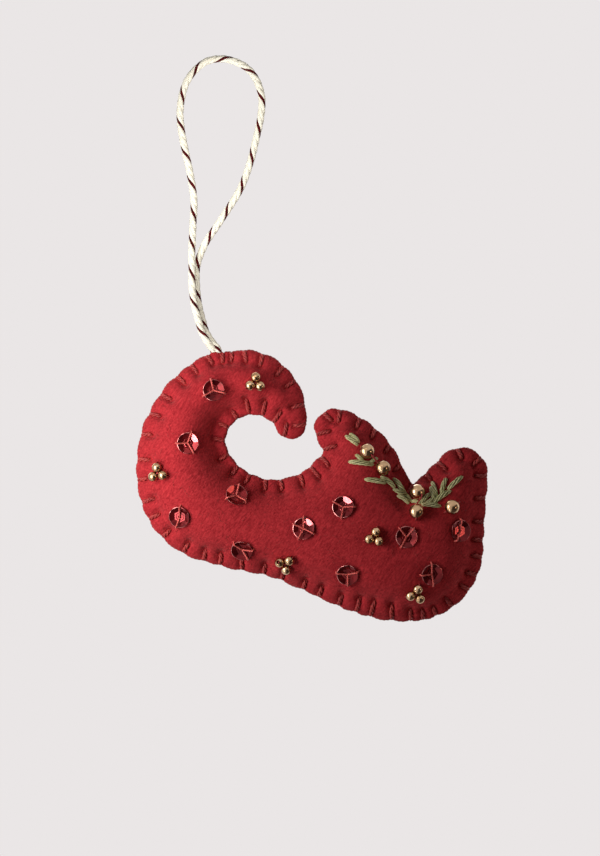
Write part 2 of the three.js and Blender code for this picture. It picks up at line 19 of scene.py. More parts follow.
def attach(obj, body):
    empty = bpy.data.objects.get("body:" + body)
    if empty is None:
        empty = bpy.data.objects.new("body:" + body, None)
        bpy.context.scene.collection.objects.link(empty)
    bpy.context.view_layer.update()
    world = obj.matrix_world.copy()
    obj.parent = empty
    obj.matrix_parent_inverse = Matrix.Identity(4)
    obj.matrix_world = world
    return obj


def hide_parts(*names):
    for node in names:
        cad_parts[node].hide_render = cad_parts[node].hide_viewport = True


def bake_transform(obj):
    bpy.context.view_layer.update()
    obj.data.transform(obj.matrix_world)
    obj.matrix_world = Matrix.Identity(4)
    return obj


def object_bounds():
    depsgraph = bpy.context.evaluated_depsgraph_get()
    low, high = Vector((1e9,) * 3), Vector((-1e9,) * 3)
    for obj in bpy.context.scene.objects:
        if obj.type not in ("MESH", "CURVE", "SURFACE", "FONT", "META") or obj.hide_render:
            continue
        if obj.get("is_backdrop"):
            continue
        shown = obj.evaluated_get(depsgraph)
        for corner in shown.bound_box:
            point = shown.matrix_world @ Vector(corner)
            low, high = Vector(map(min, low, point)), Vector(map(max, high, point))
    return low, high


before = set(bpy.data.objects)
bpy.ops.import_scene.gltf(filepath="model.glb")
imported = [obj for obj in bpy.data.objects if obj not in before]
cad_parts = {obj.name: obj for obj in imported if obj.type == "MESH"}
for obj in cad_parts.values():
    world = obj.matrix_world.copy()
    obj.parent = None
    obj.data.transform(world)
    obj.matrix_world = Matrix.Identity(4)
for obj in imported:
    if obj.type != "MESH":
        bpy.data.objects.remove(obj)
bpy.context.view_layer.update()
MM = 0.001

# %% [markdown]
# The camera looks straight at the decorated side, along +Y. A long lens keeps the beads, which stand
# a centimetre in front of the seam, from growing larger than the rest. The picture is 600 by 856
# pixels, and at the seam one pixel covers 0.27 mm, so the distance follows from the lens.

# %% Camera
PIXEL = 0.27
PICTURE_PIXELS = 856
LENS = 200.0
SENSOR = 36.0
VIEW_CENTRE = Vector((21.06, 0, -98.66))


def linked(name, data):
    """An object for the given data, put into the scene."""
    thing = bpy.data.objects.new(name, data)
    bpy.context.scene.collection.objects.link(thing)
    return thing


camera_data = bpy.data.cameras.new("camera")
camera_data.lens = LENS
camera_data.sensor_width = SENSOR
camera_data.clip_start = 0.05
camera_data.clip_end = 20
distance = PICTURE_PIXELS * PIXEL / 2 / (SENSOR / 2 / LENS)
camera = linked("camera", camera_data)
camera.location = (VIEW_CENTRE - Vector((0, distance, 0))) * MM
camera.rotation_euler = (math.radians(90), 0, 0)
bpy.context.scene.camera = camera
print("camera stands", round(distance), "mm away")

# %% [markdown]
# The background is one pale grey, seen by the camera and in reflections, while the light that it
# sheds on the cloth is set apart. Shaders are built from nodes, and two helpers keep that short.

# %% Stage
BACKGROUND = (0.823, 0.791, 0.791, 1)
AMBIENT = 0.03
AMBIENT_TINT = (1, 0.97, 0.95, 1)


def feed(socket, value):
    """Leads another node's output to a socket, or sets the socket to a plain value."""
    if isinstance(value, bpy.types.NodeSocket):
        socket.id_data.links.new(value, socket)
    else:
        socket.default_value = value


def node_of(tree, kind, sockets, output=0, **settings):
    node = tree.nodes.new(kind)
    for name, value in settings.items():
        setattr(node, name, value)
    for name, value in sockets.items():
        feed(node.inputs[name], value)
    return node.outputs[output] if len(node.outputs) else None


def maths(operation, *values):
    """A sum worked by a node, of which the first value is another node's output."""
    tree = values[0].id_data
    return node_of(tree, "ShaderNodeMath", dict(enumerate(values)), operation=operation)


def seen_directly(tree):
    """One for the camera and for reflections, zero for the light that falls on matt things."""
    rays = tree.nodes.new("ShaderNodeLightPath").outputs
    first = maths("MAXIMUM", rays["Is Camera Ray"], rays["Is Glossy Ray"])
    return maths("MAXIMUM", first, rays["Is Transmission Ray"])


def either_of(factor, at_zero, at_one, output):
    """A mix of two shaders, led to the output of a material or of the world."""
    tree = factor.id_data
    mix = node_of(tree, "ShaderNodeMixShader", {0: factor, 1: at_zero, 2: at_one})
    node_of(tree, output, {0: mix})


world = bpy.data.worlds.new("room")
bpy.context.scene.world = world
world.use_nodes = True
sky = world.node_tree
sky.nodes.clear()
shed = node_of(sky, "ShaderNodeBackground", {"Color": AMBIENT_TINT, "Strength": AMBIENT})
seen = node_of(sky, "ShaderNodeBackground", {"Color": BACKGROUND})
either_of(seen_directly(sky), shed, seen, "ShaderNodeOutputWorld")
bpy.context.scene.view_settings.view_transform = "Standard"
print("background:", BACKGROUND[:3], "ambient light:", AMBIENT)

# %% [markdown]
# The light is that of a window close by at the left: the toe is bright and the heel falls dark. One
# area lamp near the boot gives that fall-off, with a weaker panel below it. A small lamp low in
# front makes the glints on the sequins, a warm one at the right the orange sparks in the beads, and
# others light the twine, the right side and the back.

# %% Lamps
BOOT_CENTRE = (25, 0, -115)
GLINT = (-218, -173, -364)
WINDOW = (-75, -75, -108)
PALE = (1, 0.97, 0.94)


def add_lamp(name, position, target, size, power, colour, spread=180):
    """A lamp placed and aimed in millimetres, with its sides in metres and its power in watts."""
    data = bpy.data.lights.new(name, "AREA")
    data.shape = "RECTANGLE"
    data.size, data.size_y = size
    data.spread = math.radians(spread)
    data.energy = power
    data.color = colour
    lamp = linked(name, data)
    lamp.visible_camera = False
    lamp.location = Vector(position) * MM
    aim = (Vector(target) - Vector(position)).to_track_quat("-Z", "Y")
    lamp.rotation_euler = aim.to_euler()


add_lamp("window", WINDOW, (0, 0, -105), (0.07, 0.1), 0.14, (1, 0.96, 0.92))
add_lamp("low_panel", (-158, -183, -252), BOOT_CENTRE, (0.029, 0.029), 0.032, PALE)
add_lamp("glint", GLINT, BOOT_CENTRE, (0.015, 0.015), 0.05, PALE)
add_lamp("right_glow", (315, -175, -143), (64, 0, -126), (0.05, 0.05), 0.055, (1, 0.74, 0.55))
add_lamp("twine_light", (-6, -75, -25), (-4, 0, -22), (0.08, 0.08), 0.027, (1, 0.97, 0.93), 110)
add_lamp("right_fill", (600, 60, 60), BOOT_CENTRE, (0.3, 0.3), 0.55, (1, 0.95, 0.9))
add_lamp("back_fill", (-160, 480, 160), BOOT_CENTRE, (0.5, 0.5), 2.1, PALE)

# %% [markdown]
# Finishes come next, because each piece asks for one. Most of them follow one recipe: a fine noise
# for the fibres and a broad one for the dye choose a colour between a dark and a light shade, and
# the fine one also lifts the surface a little. Noise is read in the object's own coordinates, so it
# keeps its size in millimetres and stays put when the boot swings.

# %% Recipe for a fibrous finish
FIBRE_SHARE = 0.6
DYE_BREADTH = 8
SHADE_RANGE = (0.36, 0.64)


def noise_of(place, per_mm, detail=3.0, stretch=(1, 1, 1), turn=(0, 0, 0), swirl=0.0):
    tree = place.id_data
    place = node_of(
        tree, "ShaderNodeMapping",
        {"Vector": place, "Scale": stretch, "Rotation": [math.radians(a) for a in turn]},
        vector_type="TEXTURE")
    return node_of(
        tree, "ShaderNodeTexNoise",
        {"Vector": place, "Scale": per_mm / MM, "Detail": detail, "Distortion": swirl}, "Fac")


def mixed(factor, low, high):
    ends = {0: factor, 6: low, 7: high}
    return node_of(factor.id_data, "ShaderNodeMix", ends, 2, data_type="RGBA")


def spread_out(factor, low=0.0, high=1.0, least=0.0, most=1.0):
    """A noise between low and high, brought to the range from least to most."""
    ends = {"From Min": low, "From Max": high, "To Min": least, "To Max": most}
    return node_of(factor.id_data, "ShaderNodeMapRange", {"Value": factor, **ends})


def bump_of(height, depth_mm, strength, **under):
    lifted = {"Height": height, "Distance": depth_mm * MM, "Strength": strength, **under}
    return node_of(height.id_data, "ShaderNodeBump", lifted)


def new_finish(name, **sockets):
    material = bpy.data.materials.new(name)
    material.use_nodes = True
    nodes = material.node_tree.nodes
    inputs = nodes["Principled BSDF"].inputs
    for socket, value in sockets.items():
        inputs[socket.replace("_", " ")].default_value = value
    return material, inputs, nodes.new("ShaderNodeTexCoord").outputs["Object"]


def fibre_finish(name, dark, light, fibre_per_mm, depth_mm, **sockets):
    material, inputs, place = new_finish(name, **sockets)
    fibre = noise_of(place, fibre_per_mm, detail=4)
    dye = noise_of(place, fibre_per_mm / DYE_BREADTH, detail=2)
    shade = maths("MULTIPLY_ADD", fibre, FIBRE_SHARE, maths("MULTIPLY", dye, 1 - FIBRE_SHARE))
    feed(inputs["Base Color"], mixed(spread_out(shade, *SHADE_RANGE), dark, light))
    feed(inputs["Normal"], bump_of(fibre, depth_mm, strength=0.6))
    return material


# %% [markdown]
# A plain pale floor lies well under the hanging boot, out of the picture. What looks at it directly
# sees mostly the background's grey, so that no horizon cuts through a view from above. The rest is
# matt paint, which takes the boot's soft shadow and throws light back.

# %% Floor
FLOOR_HEIGHT = -420
FLOOR_RADIUS = 2.2
FLOOR_SIDES = 64
MATT_SHARE = 0.3


def mesh_from(bm, name, *materials):
    """A mesh of what was drawn in a bmesh, which is then put away."""
    mesh = bpy.data.meshes.new(name)
    bm.to_mesh(mesh)
    bm.free()
    for material in materials:
        mesh.materials.append(material)
    return mesh


floor_material = bpy.data.materials.new("pale_floor")
floor_material.use_nodes = True
tree = floor_material.node_tree
tree.nodes.clear()
matt = node_of(tree, "ShaderNodeBsdfDiffuse", {"Color": BACKGROUND})
strength = (1 - MATT_SHARE * AMBIENT) / (1 - MATT_SHARE)
plain = node_of(tree, "ShaderNodeEmission", {"Color": BACKGROUND, "Strength": strength})
share = maths("MULTIPLY", seen_directly(tree), 1 - MATT_SHARE)
either_of(share, matt, plain, "ShaderNodeOutputMaterial")

bm = bmesh.new()
bmesh.ops.create_circle(bm, cap_ends=True, segments=FLOOR_SIDES, radius=FLOOR_RADIUS)
bmesh.ops.translate(bm, verts=bm.verts, vec=(0, 0, FLOOR_HEIGHT * MM))
floor = linked("floor", mesh_from(bm, "floor", floor_material))
floor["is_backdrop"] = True
print("floor at", FLOOR_HEIGHT, "mm")

# %% [markdown]
# Bright beads and sequins mirror the room, and in an all-pale room they look flat. A photographer
# stands dark boards where nothing bright should be mirrored: here at the right, in front and below.
# They are three sides of a box round the boot, and they show in reflections alone: the camera looks
# past them, and they take no light from the felt or the floor.

# %% Dark boards
BOARDS_LOW = Vector((-0.03, -1.5, -0.41))
BOARDS_HIGH = Vector((0.5, 0.1, 0.16))
BOARDS_GREY = (0.25, 0.21, 0.20, 1)
board_material = new_finish("dark_boards", Base_Color=BOARDS_GREY, Roughness=1)[0]
bm = bmesh.new()
bmesh.ops.create_cube(bm, size=1)
bmesh.ops.scale(bm, verts=bm.verts, vec=BOARDS_HIGH - BOARDS_LOW)
bmesh.ops.translate(bm, verts=bm.verts, vec=(BOARDS_HIGH + BOARDS_LOW) / 2)
bm.normal_update()
open_sides = [f for f in bm.faces if max(-f.normal.x, f.normal.y, f.normal.z) > 0.5]
bmesh.ops.delete(bm, geom=open_sides, context="FACES")
bmesh.ops.reverse_faces(bm, faces=bm.faces)
boards = linked("dark_boards", mesh_from(bm, "dark_boards", board_material))
boards.visible_camera = boards.visible_diffuse = boards.visible_shadow = False
boards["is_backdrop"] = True
print("boards:", len(boards.data.polygons))

# %% [markdown]
# Thread, floss and twine are all fibres twisted into strands, and strands laid round each other.
# A strand is modelled as that: a line that winds round the line of the cord, given a round section.

# %% Lines and strands
SPLITS = 16
ASIDE = (0.3, -1, 0.2)


def unit(vector):
    return vector / np.linalg.norm(vector)


def length_along(line):
    """The distance from the start of a line, at each of its points."""
    return np.concatenate([[0], np.cumsum(np.linalg.norm(np.diff(line, axis=0), axis=1))])


def smooth_line(points, step):
    """Even points along a smooth line through the given ones."""
    points = np.array(points, float)
    ends = np.vstack([2 * points[0] - points[1], points, 2 * points[-1] - points[-2]])
    fine = []
    for a, b, c, d in zip(ends, ends[1:], ends[2:], ends[3:]):
        for t in np.linspace(0, 1, SPLITS, endpoint=False):
            fine.append(
                0.5 * (2 * b + (c - a) * t + (2 * a - 5 * b + 4 * c - d) * t**2
                       + (3 * b - a - 3 * c + d) * t**3))
    fine = np.array(fine + [points[-1]])
    run = length_along(fine)
    even = np.linspace(0, run[-1], max(2, round(run[-1] / step) + 1))
    return np.stack([np.interp(even, run, fine[:, k]) for k in range(3)], axis=1)


def frames_along(line):
    """Two directions across the line at each point, carried along it without twist."""
    tangents = np.gradient(line, axis=0)
    tangents /= np.linalg.norm(tangents, axis=1)[:, None]
    side = np.cross(tangents[0], ASIDE)
    across = []
    for tangent in tangents:
        side = unit(side - tangent * (side @ tangent))
        across.append(side)
    return np.array(across), np.cross(tangents, across)


def wound(line, offset, pitch, phase):
    """A line that winds round another at a given offset, one turn in each pitch."""
    across, up = frames_along(line)
    angle = phase - 2 * math.pi * length_along(line) / pitch
    offset = np.broadcast_to(offset, angle.shape)[:, None]
    return line + offset * (np.cos(angle)[:, None] * across + np.sin(angle)[:, None] * up)


def twisted(line, count, offset, radius, pitch, phase=0.0):
    """Strands of one kind, evenly spaced, that wind round a line together."""
    turns = [phase + 2 * math.pi * k / count for k in range(count)]
    return [(wound(line, offset, pitch, turn), radius, 0) for turn in turns]


# %% [markdown]
# Strands become a mesh through a curve with a round bevel. Pieces are drawn in millimetres from the
# place where the boot hangs. A finished one is moved there, scaled, and set to ride on the boot.

# %% Strands made a mesh, and finished pieces
BOOT_PLACE = Vector((-2.671, 0, -78.36))
THREAD_SIDES = 6


def evaluated_copy(holder):
    """A mesh of an object as its bevel or its modifiers leave it."""
    graph = bpy.context.evaluated_depsgraph_get()
    return bpy.data.meshes.new_from_object(holder.evaluated_get(graph))


def tube_mesh(name, strands, sides, materials):
    """One mesh of round strands, each given as (points, radius or radii, material number)."""
    curve = bpy.data.curves.new(name, "CURVE")
    curve.dimensions = "3D"
    curve.bevel_depth = 1
    curve.bevel_resolution = (sides - 4) // 2
    curve.use_fill_caps = True
    for material in materials:
        curve.materials.append(material)
    for points, radius, number in strands:
        spline = curve.splines.new("POLY")
        spline.points.add(len(points) - 1)
        flat = np.hstack([points, np.ones((len(points), 1))])
        spline.points.foreach_set("co", flat.ravel())
        spline.points.foreach_set("radius", np.broadcast_to(radius, len(points)).copy())
        spline.material_index = number
        spline.use_smooth = True
    holder = linked(name, curve)
    mesh = evaluated_copy(holder)
    bpy.data.objects.remove(holder)
    mesh.name = name
    return mesh


def finished(name, mesh, on_boot=True):
    """An object for a mesh drawn in millimetres, set in the frame in metres."""
    if on_boot:
        mesh.transform(Matrix.Translation(BOOT_PLACE))
    mesh.transform(Matrix.Scale(MM, 4))
    mesh.update()
    piece = linked(name, mesh)
    if on_boot:
        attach(piece, "boot")
    print(name, "has", len(mesh.polygons), "faces")
    return piece


def sewn(name, strands, *materials, sides=THREAD_SIDES):
    """A finished piece made of strands."""
    return finished(name, tube_mesh(name, strands, sides, materials))


# %% [markdown]
# Baker's twine is two-coloured: three plies of cream cotton, laid up with one thin dark red ply, so
# that the red runs round the cord as a stripe. The photograph shows it from seam to seam. The route
# is that of the model: out of the seam at the top of the curl, up the left leg, over the hook and
# down again, with both ends inside the boot.

# %% Twine
TWINE_PITCH = 8.1
TWINE_STEP = 0.35
TWINE_SIDES = 14
CREAM_RADIUS, CREAM_OFFSET, CREAM_TURNS = 0.62, 0.38, (-98, 0, 98)
RED_RADIUS, RED_OFFSET = 0.43, 0.53
SEAM_EXIT = np.array((-2.7, 0, -78.4))
INWARD = np.array((0.4067, 0, -0.9135))
ALONG = np.array((0.9135, 0, 0.4067))
LOOP_ROUTE = [
    (-5.3, -0.5, -73), (-6.3, -0.75, -69.8), (-7.5, -0.75, -65), (-8.05, -0.75, -60.5),
    (-8.1, -0.9, -54.5), (-8.1, -0.6, -50), (-7.8, -0.2, -43), (-7.6, 0, -37), (-8.6, 0, -30),
    (-9.9, 0, -24), (-10.9, 0, -18.6), (-11.35, 0, -13.9), (-10.85, 0, -9.3), (-9.6, 0, -5.3),
    (-7.4, 0, -2.2), (-4.4, 0, 0.2), (-1, 0, 1), (2.2, 0, 0.7), (5.6, 0, -0.7), (8.2, 0, -3),
    (10, 0, -6.4), (10.8, 0, -10.5), (10.3, 0, -15.6), (9.2, 0, -20.6), (7.6, 0, -27),
    (5.2, 0, -33.6), (2, 0, -39), (-1.6, 0.2, -44.4), (-4.4, 0.5, -48.6), (-6.3, 0.95, -53),
    (-6.95, 1, -56.4), (-6.85, 1, -61), (-6.3, 1, -65.5), (-5.2, 0.95, -70), (-4.2, 0.7, -73),
]


def twine_tail(side):
    """The hidden end of the twine, from the seam's edge in to the knot."""
    return [
        SEAM_EXIT + (side * 0.6 - 0.6, side * 0.45, 3.0),
        SEAM_EXIT + ALONG * (side * 0.6 + 1.2),
        SEAM_EXIT + ALONG * side * 0.95 + INWARD * 4,
        SEAM_EXIT + ALONG * side * 0.6 + INWARD * 8,
    ]


twine_line = smooth_line(
    twine_tail(-1)[::-1] + [np.array(p) for p in LOOP_ROUTE] + twine_tail(1), TWINE_STEP)

cotton = fibre_finish(
    "cream_cotton", (0.91, 0.87, 0.72, 1), (0.96, 0.94, 0.82, 1), 1.6, 0.002,
    Roughness=0.85, Sheen_Weight=0.15)
dyed_cotton = fibre_finish(
    "dark_red_cotton", (0.025, 0.002, 0.003, 1), (0.12, 0.007, 0.009, 1), 1.6, 0.01,
    Roughness=0.9, Specular_IOR_Level=0.1)

plies = [
    (wound(twine_line, CREAM_OFFSET, TWINE_PITCH, math.radians(turn)), CREAM_RADIUS, 0)
    for turn in CREAM_TURNS]
plies.append((wound(twine_line, RED_OFFSET, TWINE_PITCH, math.pi), RED_RADIUS, 1))
twine = finished(
    "bakers_twine", tube_mesh("bakers_twine", plies, TWINE_SIDES, [cotton, dyed_cotton]),
    on_boot=False)
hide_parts("hanging_loop", "twine_knot")
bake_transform(twine)

# %% [markdown]
# The pattern of the boot is drawn as a pattern cutter would, with compass arcs and two easy curves
# for the sole. In bmesh an arc is one vertex spun about a centre. Both panels are cut to it.

# %% Pattern
PATTERN = [
    ("toe sweep", 13.8, -31.1, 34, 114, 188),
    ("toe ball", 3, -33.8, 22.8, 192, 258),
    ("sole front", (12, -60.2), (12.5, -58.2), (22.5, -62.8)),
    ("sole heel", (32.5, -67.4), (41.26, -72.22), (51.26, -72.22)),
    ("heel", 53, -52.3, 20, -95, 4),
    ("back cuff", 67.3, -32.7, 6.9, -12, 130),
    ("notch", (54.3, -35.9)),
    ("front cuff back", 25.7, -41.3, 27.6, 17, 66),
    ("front cuff", 33.2, -20.5, 5.3, 74, 205),
    ("instep", (30.4, -27.2)),
    ("curl floor", 16.9, -20, 14.5, -38, -150),
    ("curl eye", 11, -24.1, 7.6, -170, -330),
    ("toe tip", 21.2, -18.9, 4.2, -128, 10),
    ("toe crown", 7.7, -16.7, 17.4, 0, 84),
]
PATTERN_STEP = 0.9
MERGE = 0.05


def draw_arc(bm, x, z, radius, start, stop):
    """An arc about a centre, from one bearing to another."""
    angle = math.radians(start)
    first = bm.verts.new((x + radius * math.cos(angle), 0, z + radius * math.sin(angle)))
    sweep = math.radians(stop - start)
    steps = max(2, round(abs(sweep) * radius / PATTERN_STEP))
    bmesh.ops.spin(
        bm, geom=[first], cent=(x, 0, z), axis=(0, -1, 0), angle=sweep, steps=steps)


def draw_curve(bm, first_pull, second_pull, stop):
    """An easy curve on from the last point, drawn towards two others on its way."""
    bm.verts.ensure_lookup_table()
    a = np.array((bm.verts[-1].co.x, bm.verts[-1].co.z))
    b, c, d = (np.array(p) for p in (first_pull, second_pull, stop))
    steps = round(np.linalg.norm(d - a) / PATTERN_STEP)
    for t in np.linspace(0, 1, steps + 1)[1:-1]:
        p = (1 - t)**3 * a + 3 * (1 - t)**2 * t * b + 3 * (1 - t) * t**2 * c + t**3 * d
        bm.verts.new((p[0], 0, p[1]))


pattern = bmesh.new()
for _, *shape in PATTERN:
    if len(shape) == 5:
        draw_arc(pattern, *shape)
    elif len(shape) == 3:
        draw_curve(pattern, *shape)
    else:
        pattern.verts.new((shape[0][0], 0, shape[0][1]))
bmesh.ops.remove_doubles(pattern, verts=pattern.verts, dist=MERGE)
pattern.verts.ensure_lookup_table()
outline = np.array([(v.co.x, v.co.z) for v in pattern.verts])
print("pattern has", len(outline), "points")

# %% [markdown]
# Sewing follows the edge of the pattern, so a place on it is given by its distance along the edge,
# from the twine down the toe and round.

# %% Edge of the pattern
RIM_POINTS = 480
TANGENT_REACH = 0.6
closed = np.vstack([outline, outline[:1]])
edge_run = length_along(closed)
edge_length = edge_run[-1]


def edge_point(run):
    run = run % edge_length
    return np.stack([np.interp(run, edge_run, closed[:, k]) for k in (0, 1)], axis=-1)


def edge_inward(run):
    """The directions into the pattern and along its edge."""
    along = edge_point(run + TANGENT_REACH) - edge_point(run - TANGENT_REACH)
    along /= np.hypot(*along)
    return np.array((-along[1], along[0])), along


rim = edge_point(np.arange(RIM_POINTS) * edge_length / RIM_POINTS)
print("edge of the pattern:", round(edge_length, 1), "mm")

# %% [markdown]
# Blanket stitch holds the panels together. Hand sewing is never even: the gaps between stitches were
# counted off stretch by stretch, from the twine down the toe and round, and each stretch has its own
# usual leg and lean. A seeded draw varies both a little from stitch to stitch.

# %% Stitches
STITCHING = [
    ("toe", 3.2, -6, [1.5, 5, 5, 6.5, 6, 6, 7]),
    ("ball of the toe", 3.2, -3, [5.5, 6, 5, 6, 7, 6]),
    ("sole", 2.9, -5, [4.5, 6, 6, 5, 6.5, 4.5, 6]),
    ("under the heel", 4.2, -4, [5, 4, 6]),
    ("heel", 2.8, -2, [5, 3.5, 3.5, 5, 6.5, 4.5, 5, 4.5, 5]),
    ("back cuff", 2.9, -8, [6.5, 6, 5.5, 7, 6.5]),
    ("notch", 2.5, 0, [4.5, 5]),
    ("back of the front cuff", 2.6, -18, [6.5, 6, 6]),
    ("front cuff", 3.1, -8, [5, 6, 4.5]),
    ("instep", 3.5, 0, [6.5, 4.5, 2.5, 4, 3.5]),
    ("floor of the curl", 2.9, -4, [5.5, 4, 4.5, 4, 4]),
    ("eye of the curl", 2.7, -4, [4, 3.5, 3.5]),
    ("tip of the toe", 3.7, -10, [3.5, 3.5, 3.5, 5]),
    ("crown of the toe", 3.6, -3, [8, 5.5, 7, 5, 6.5]),
    ("beside the twine", 2.9, 1, [5, 3.5, 2.5]),
]
SEED = 7
LEAN_VARIES = 7
LEG_VARIES = (0.88, 1.14)
chance = random.Random(SEED)
stitch_runs, roots, tips = [], [], []
run = 0
for _, usual_leg, usual_lean, gaps in STITCHING:
    for gap in gaps:
        run += gap
        inward, along = edge_inward(run)
        turn = math.radians(usual_lean + chance.uniform(-LEAN_VARIES, LEAN_VARIES))
        leg = usual_leg * chance.uniform(*LEG_VARIES)
        stitch_runs.append(run)
        roots.append(edge_point(run))
        tips.append(roots[-1] + leg * (inward * math.cos(turn) + along * math.sin(turn)))
roots, tips = np.array(roots), np.array(tips)
print("stitches:", len(roots), "the last", round(edge_length - run, 1), "mm before the twine")

# %% [markdown]
# How high the stuffed felt stands follows the swelling of the model: steep at the seam, level over the
# middle. It is read from a soft distance to the edge, taken over the whole rim, which has no creases.
# The stitches draw the felt in where their legs end.

# %% Swelling
PUFF = 12
RISE = 10
SEAM_GAP = 0.3
FELT = 1.3
EDGE_HALF = SEAM_GAP / 2 + FELT
PULL_DEPTH, PULL_WIDTH, PULL_LIMIT = 1.5, 1.5, 1.15


def edge_distance(places):
    x, z = places[:, 0, None], places[:, -1, None]
    gap = np.sqrt((x - rim[:, 0])**2 + (z - rim[:, 1])**2 + SEAM_GAP**2)
    return np.sqrt(2 / (edge_length / RIM_POINTS / gap**3).sum(axis=1))


def swelling(places):
    return EDGE_HALF + PUFF * (1 - np.exp(-edge_distance(places) / RISE))


def distances(places, spots):
    """How far each place is from each spot, over the plane of the pattern."""
    return np.linalg.norm(places[:, None, [0, -1]] - spots, axis=2)


def bell(distance, width):
    """One at no distance, falling off softly over a width."""
    return np.exp(-(distance / width)**2 / 2)


def pulled_in(places):
    pull = bell(distances(places, tips), PULL_WIDTH).sum(axis=1)
    return PULL_DEPTH * pull.clip(0, PULL_LIMIT)


print("felt stands", round(swelling(tips).mean(), 1), "mm high at the ends of the stitches")

# %% [markdown]
# The stuffed boot begins as a flat pocket: the pattern is cut a little larger, filled as one face and
# given the thickness of two felts. Remeshing turns it into even small faces that can bend anywhere.
# The work is done at five times the size, because the cloth solver's numbers suit a seat cushion.

# %% Flat pocket
WORK_SCALE = 5 * MM
CELL = 0.8
ALLOWANCE = 0.35

corners = pattern.verts[:]
for corner, run in zip(corners, edge_run):
    inward, _ = edge_inward(run)
    corner.co -= Vector((inward[0], 0, inward[1])) * ALLOWANCE
for a, b in zip(corners, corners[1:] + corners[:1]):
    if not pattern.edges.get((a, b)):
        pattern.edges.new((a, b))
panel = bmesh.ops.edgeloop_fill(pattern, edges=pattern.edges[:])["faces"][0]
walls = bmesh.ops.extrude_face_region(pattern, geom=[panel])
moved = [v for v in walls["geom"] if isinstance(v, bmesh.types.BMVert)]
bmesh.ops.translate(pattern, verts=moved, vec=(0, 2 * EDGE_HALF, 0))
bmesh.ops.translate(pattern, verts=pattern.verts, vec=(0, -EDGE_HALF, 0))
bmesh.ops.recalc_face_normals(pattern, faces=pattern.faces)
bmesh.ops.scale(pattern, verts=pattern.verts, vec=(WORK_SCALE,) * 3)
pocket = linked("pocket", mesh_from(pattern, "pocket"))
even_faces = pocket.modifiers.new("even_faces", "REMESH")
even_faces.mode = "VOXEL"
even_faces.voxel_size = CELL * WORK_SCALE
pocket.data = evaluated_copy(pocket)
pocket.modifiers.clear()
print("pocket has", len(pocket.data.vertices), "points")

# %% [markdown]
# The pocket is filled a little less than full, which leaves the rest to the simulation: its points are
# moved out towards the swelling.

# %% Pocket partly filled
SLACK = 0.93
LEAST_SHARE = 0.8


def points_of(mesh, field="co"):
    flat = np.empty(3 * len(mesh.vertices), np.float32)
    mesh.vertices.foreach_get(field, flat)
    return flat.reshape(-1, 3).astype(float)


def set_points(mesh, points):
    mesh.vertices.foreach_set("co", points.astype(np.float32).ravel())
    mesh.update()


flat = points_of(pocket.data) / WORK_SCALE
depth = np.clip(np.abs(flat[:, 1]) / EDGE_HALF, 0, 1)
filled = EDGE_HALF + SLACK * (swelling(flat) - EDGE_HALF)
filled = np.maximum(filled - pulled_in(flat), LEAST_SHARE * EDGE_HALF)
flat[:, 1] = np.sign(flat[:, 1]) * depth * filled
set_points(pocket.data, flat * WORK_SCALE)
print("pocket is", round(2 * filled.max(), 1), "mm thick")

# %% [markdown]
# Cloth simulation does the stuffing: pressure from inside swells the felt while its edge and the
# ends of the stitches are held. A cap on the movement keeps it within the form that the model has.

# %% Stuff the boot
PRESSURE = 1500.0
FELT_TENSION = 5
FELT_BENDING = 0.1
FELT_WEIGHT = 0.05
FRAMES = 20
LARGEST_MOVE = 1.3
HELD_EDGE = 0.9
HELD_STITCH = 0.6

held = edge_distance(flat) < HELD_EDGE
held |= distances(flat, tips).min(axis=1) < HELD_STITCH

group = pocket.vertex_groups.new(name="held")
group.add([int(i) for i in np.flatnonzero(held)], 1, "REPLACE")
stuffing = pocket.modifiers.new("stuffing", "CLOTH")
cloth = stuffing.settings
cloth.quality = 6
cloth.vertex_group_mass = "held"
cloth.use_pressure = True
cloth.uniform_pressure_force = PRESSURE
cloth.effector_weights.gravity = 0
cloth.mass = FELT_WEIGHT
cloth.tension_stiffness = cloth.compression_stiffness = FELT_TENSION
cloth.shear_stiffness = FELT_TENSION / 2
cloth.bending_stiffness = FELT_BENDING
stuffing.collision_settings.use_collision = False
scene = bpy.context.scene
for step in range(1, FRAMES + 1):
    scene.frame_set(step)
stuffed = points_of(evaluated_copy(pocket)) / WORK_SCALE
pocket.modifiers.clear()
scene.frame_set(1)
move = stuffed - flat
far = np.linalg.norm(move, axis=1)
move *= np.minimum(1, LARGEST_MOVE / np.maximum(far, 1e-9))[:, None]
print("felt moved", round(far.mean(), 2), "mm on average,", round(far.max(), 2), "at most")
set_points(pocket.data, (flat + move) * WORK_SCALE)

# %% [markdown]
# The curl is the tightest bend of the pattern, and the felt is drawn down at its inner side. The mesh
# is made twice as fine, and the fold is a soft valley along that part of the edge.

# %% Fold beside the curl
FOLD_ROUTE = [
    (3.6, 0, -9), (2.9, 0, -14), (2.7, 0, -19), (3, 0, -24), (4.4, 0, -27), (6.4, 0, -30)]
FOLD_DEPTH = 3.1
FOLD_WIDTH = 3.9
FOLD_FLOOR = 1.5
FOLD_STEP = 0.5

finer = pocket.modifiers.new("finer", "SUBSURF")
finer.levels = finer.render_levels = 1
boot_mesh = evaluated_copy(pocket)
bpy.data.objects.remove(pocket)
points = points_of(boot_mesh) / WORK_SCALE

fold = smooth_line(FOLD_ROUTE, FOLD_STEP)[:, [0, 2]]
apart = distances(points, fold)
fade = np.sin(math.pi * (apart.argmin(axis=1) + 1) / (len(fold) + 1))**0.5
dent = FOLD_DEPTH * fade * bell(apart.min(axis=1), FOLD_WIDTH)
high = np.abs(points[:, 1])
folded = np.maximum(high - dent, np.minimum(high, FOLD_FLOOR))
points[:, 1] = np.sign(points[:, 1]) * folded
print("fold is", round(float((high - folded).max()), 2), "mm deep")

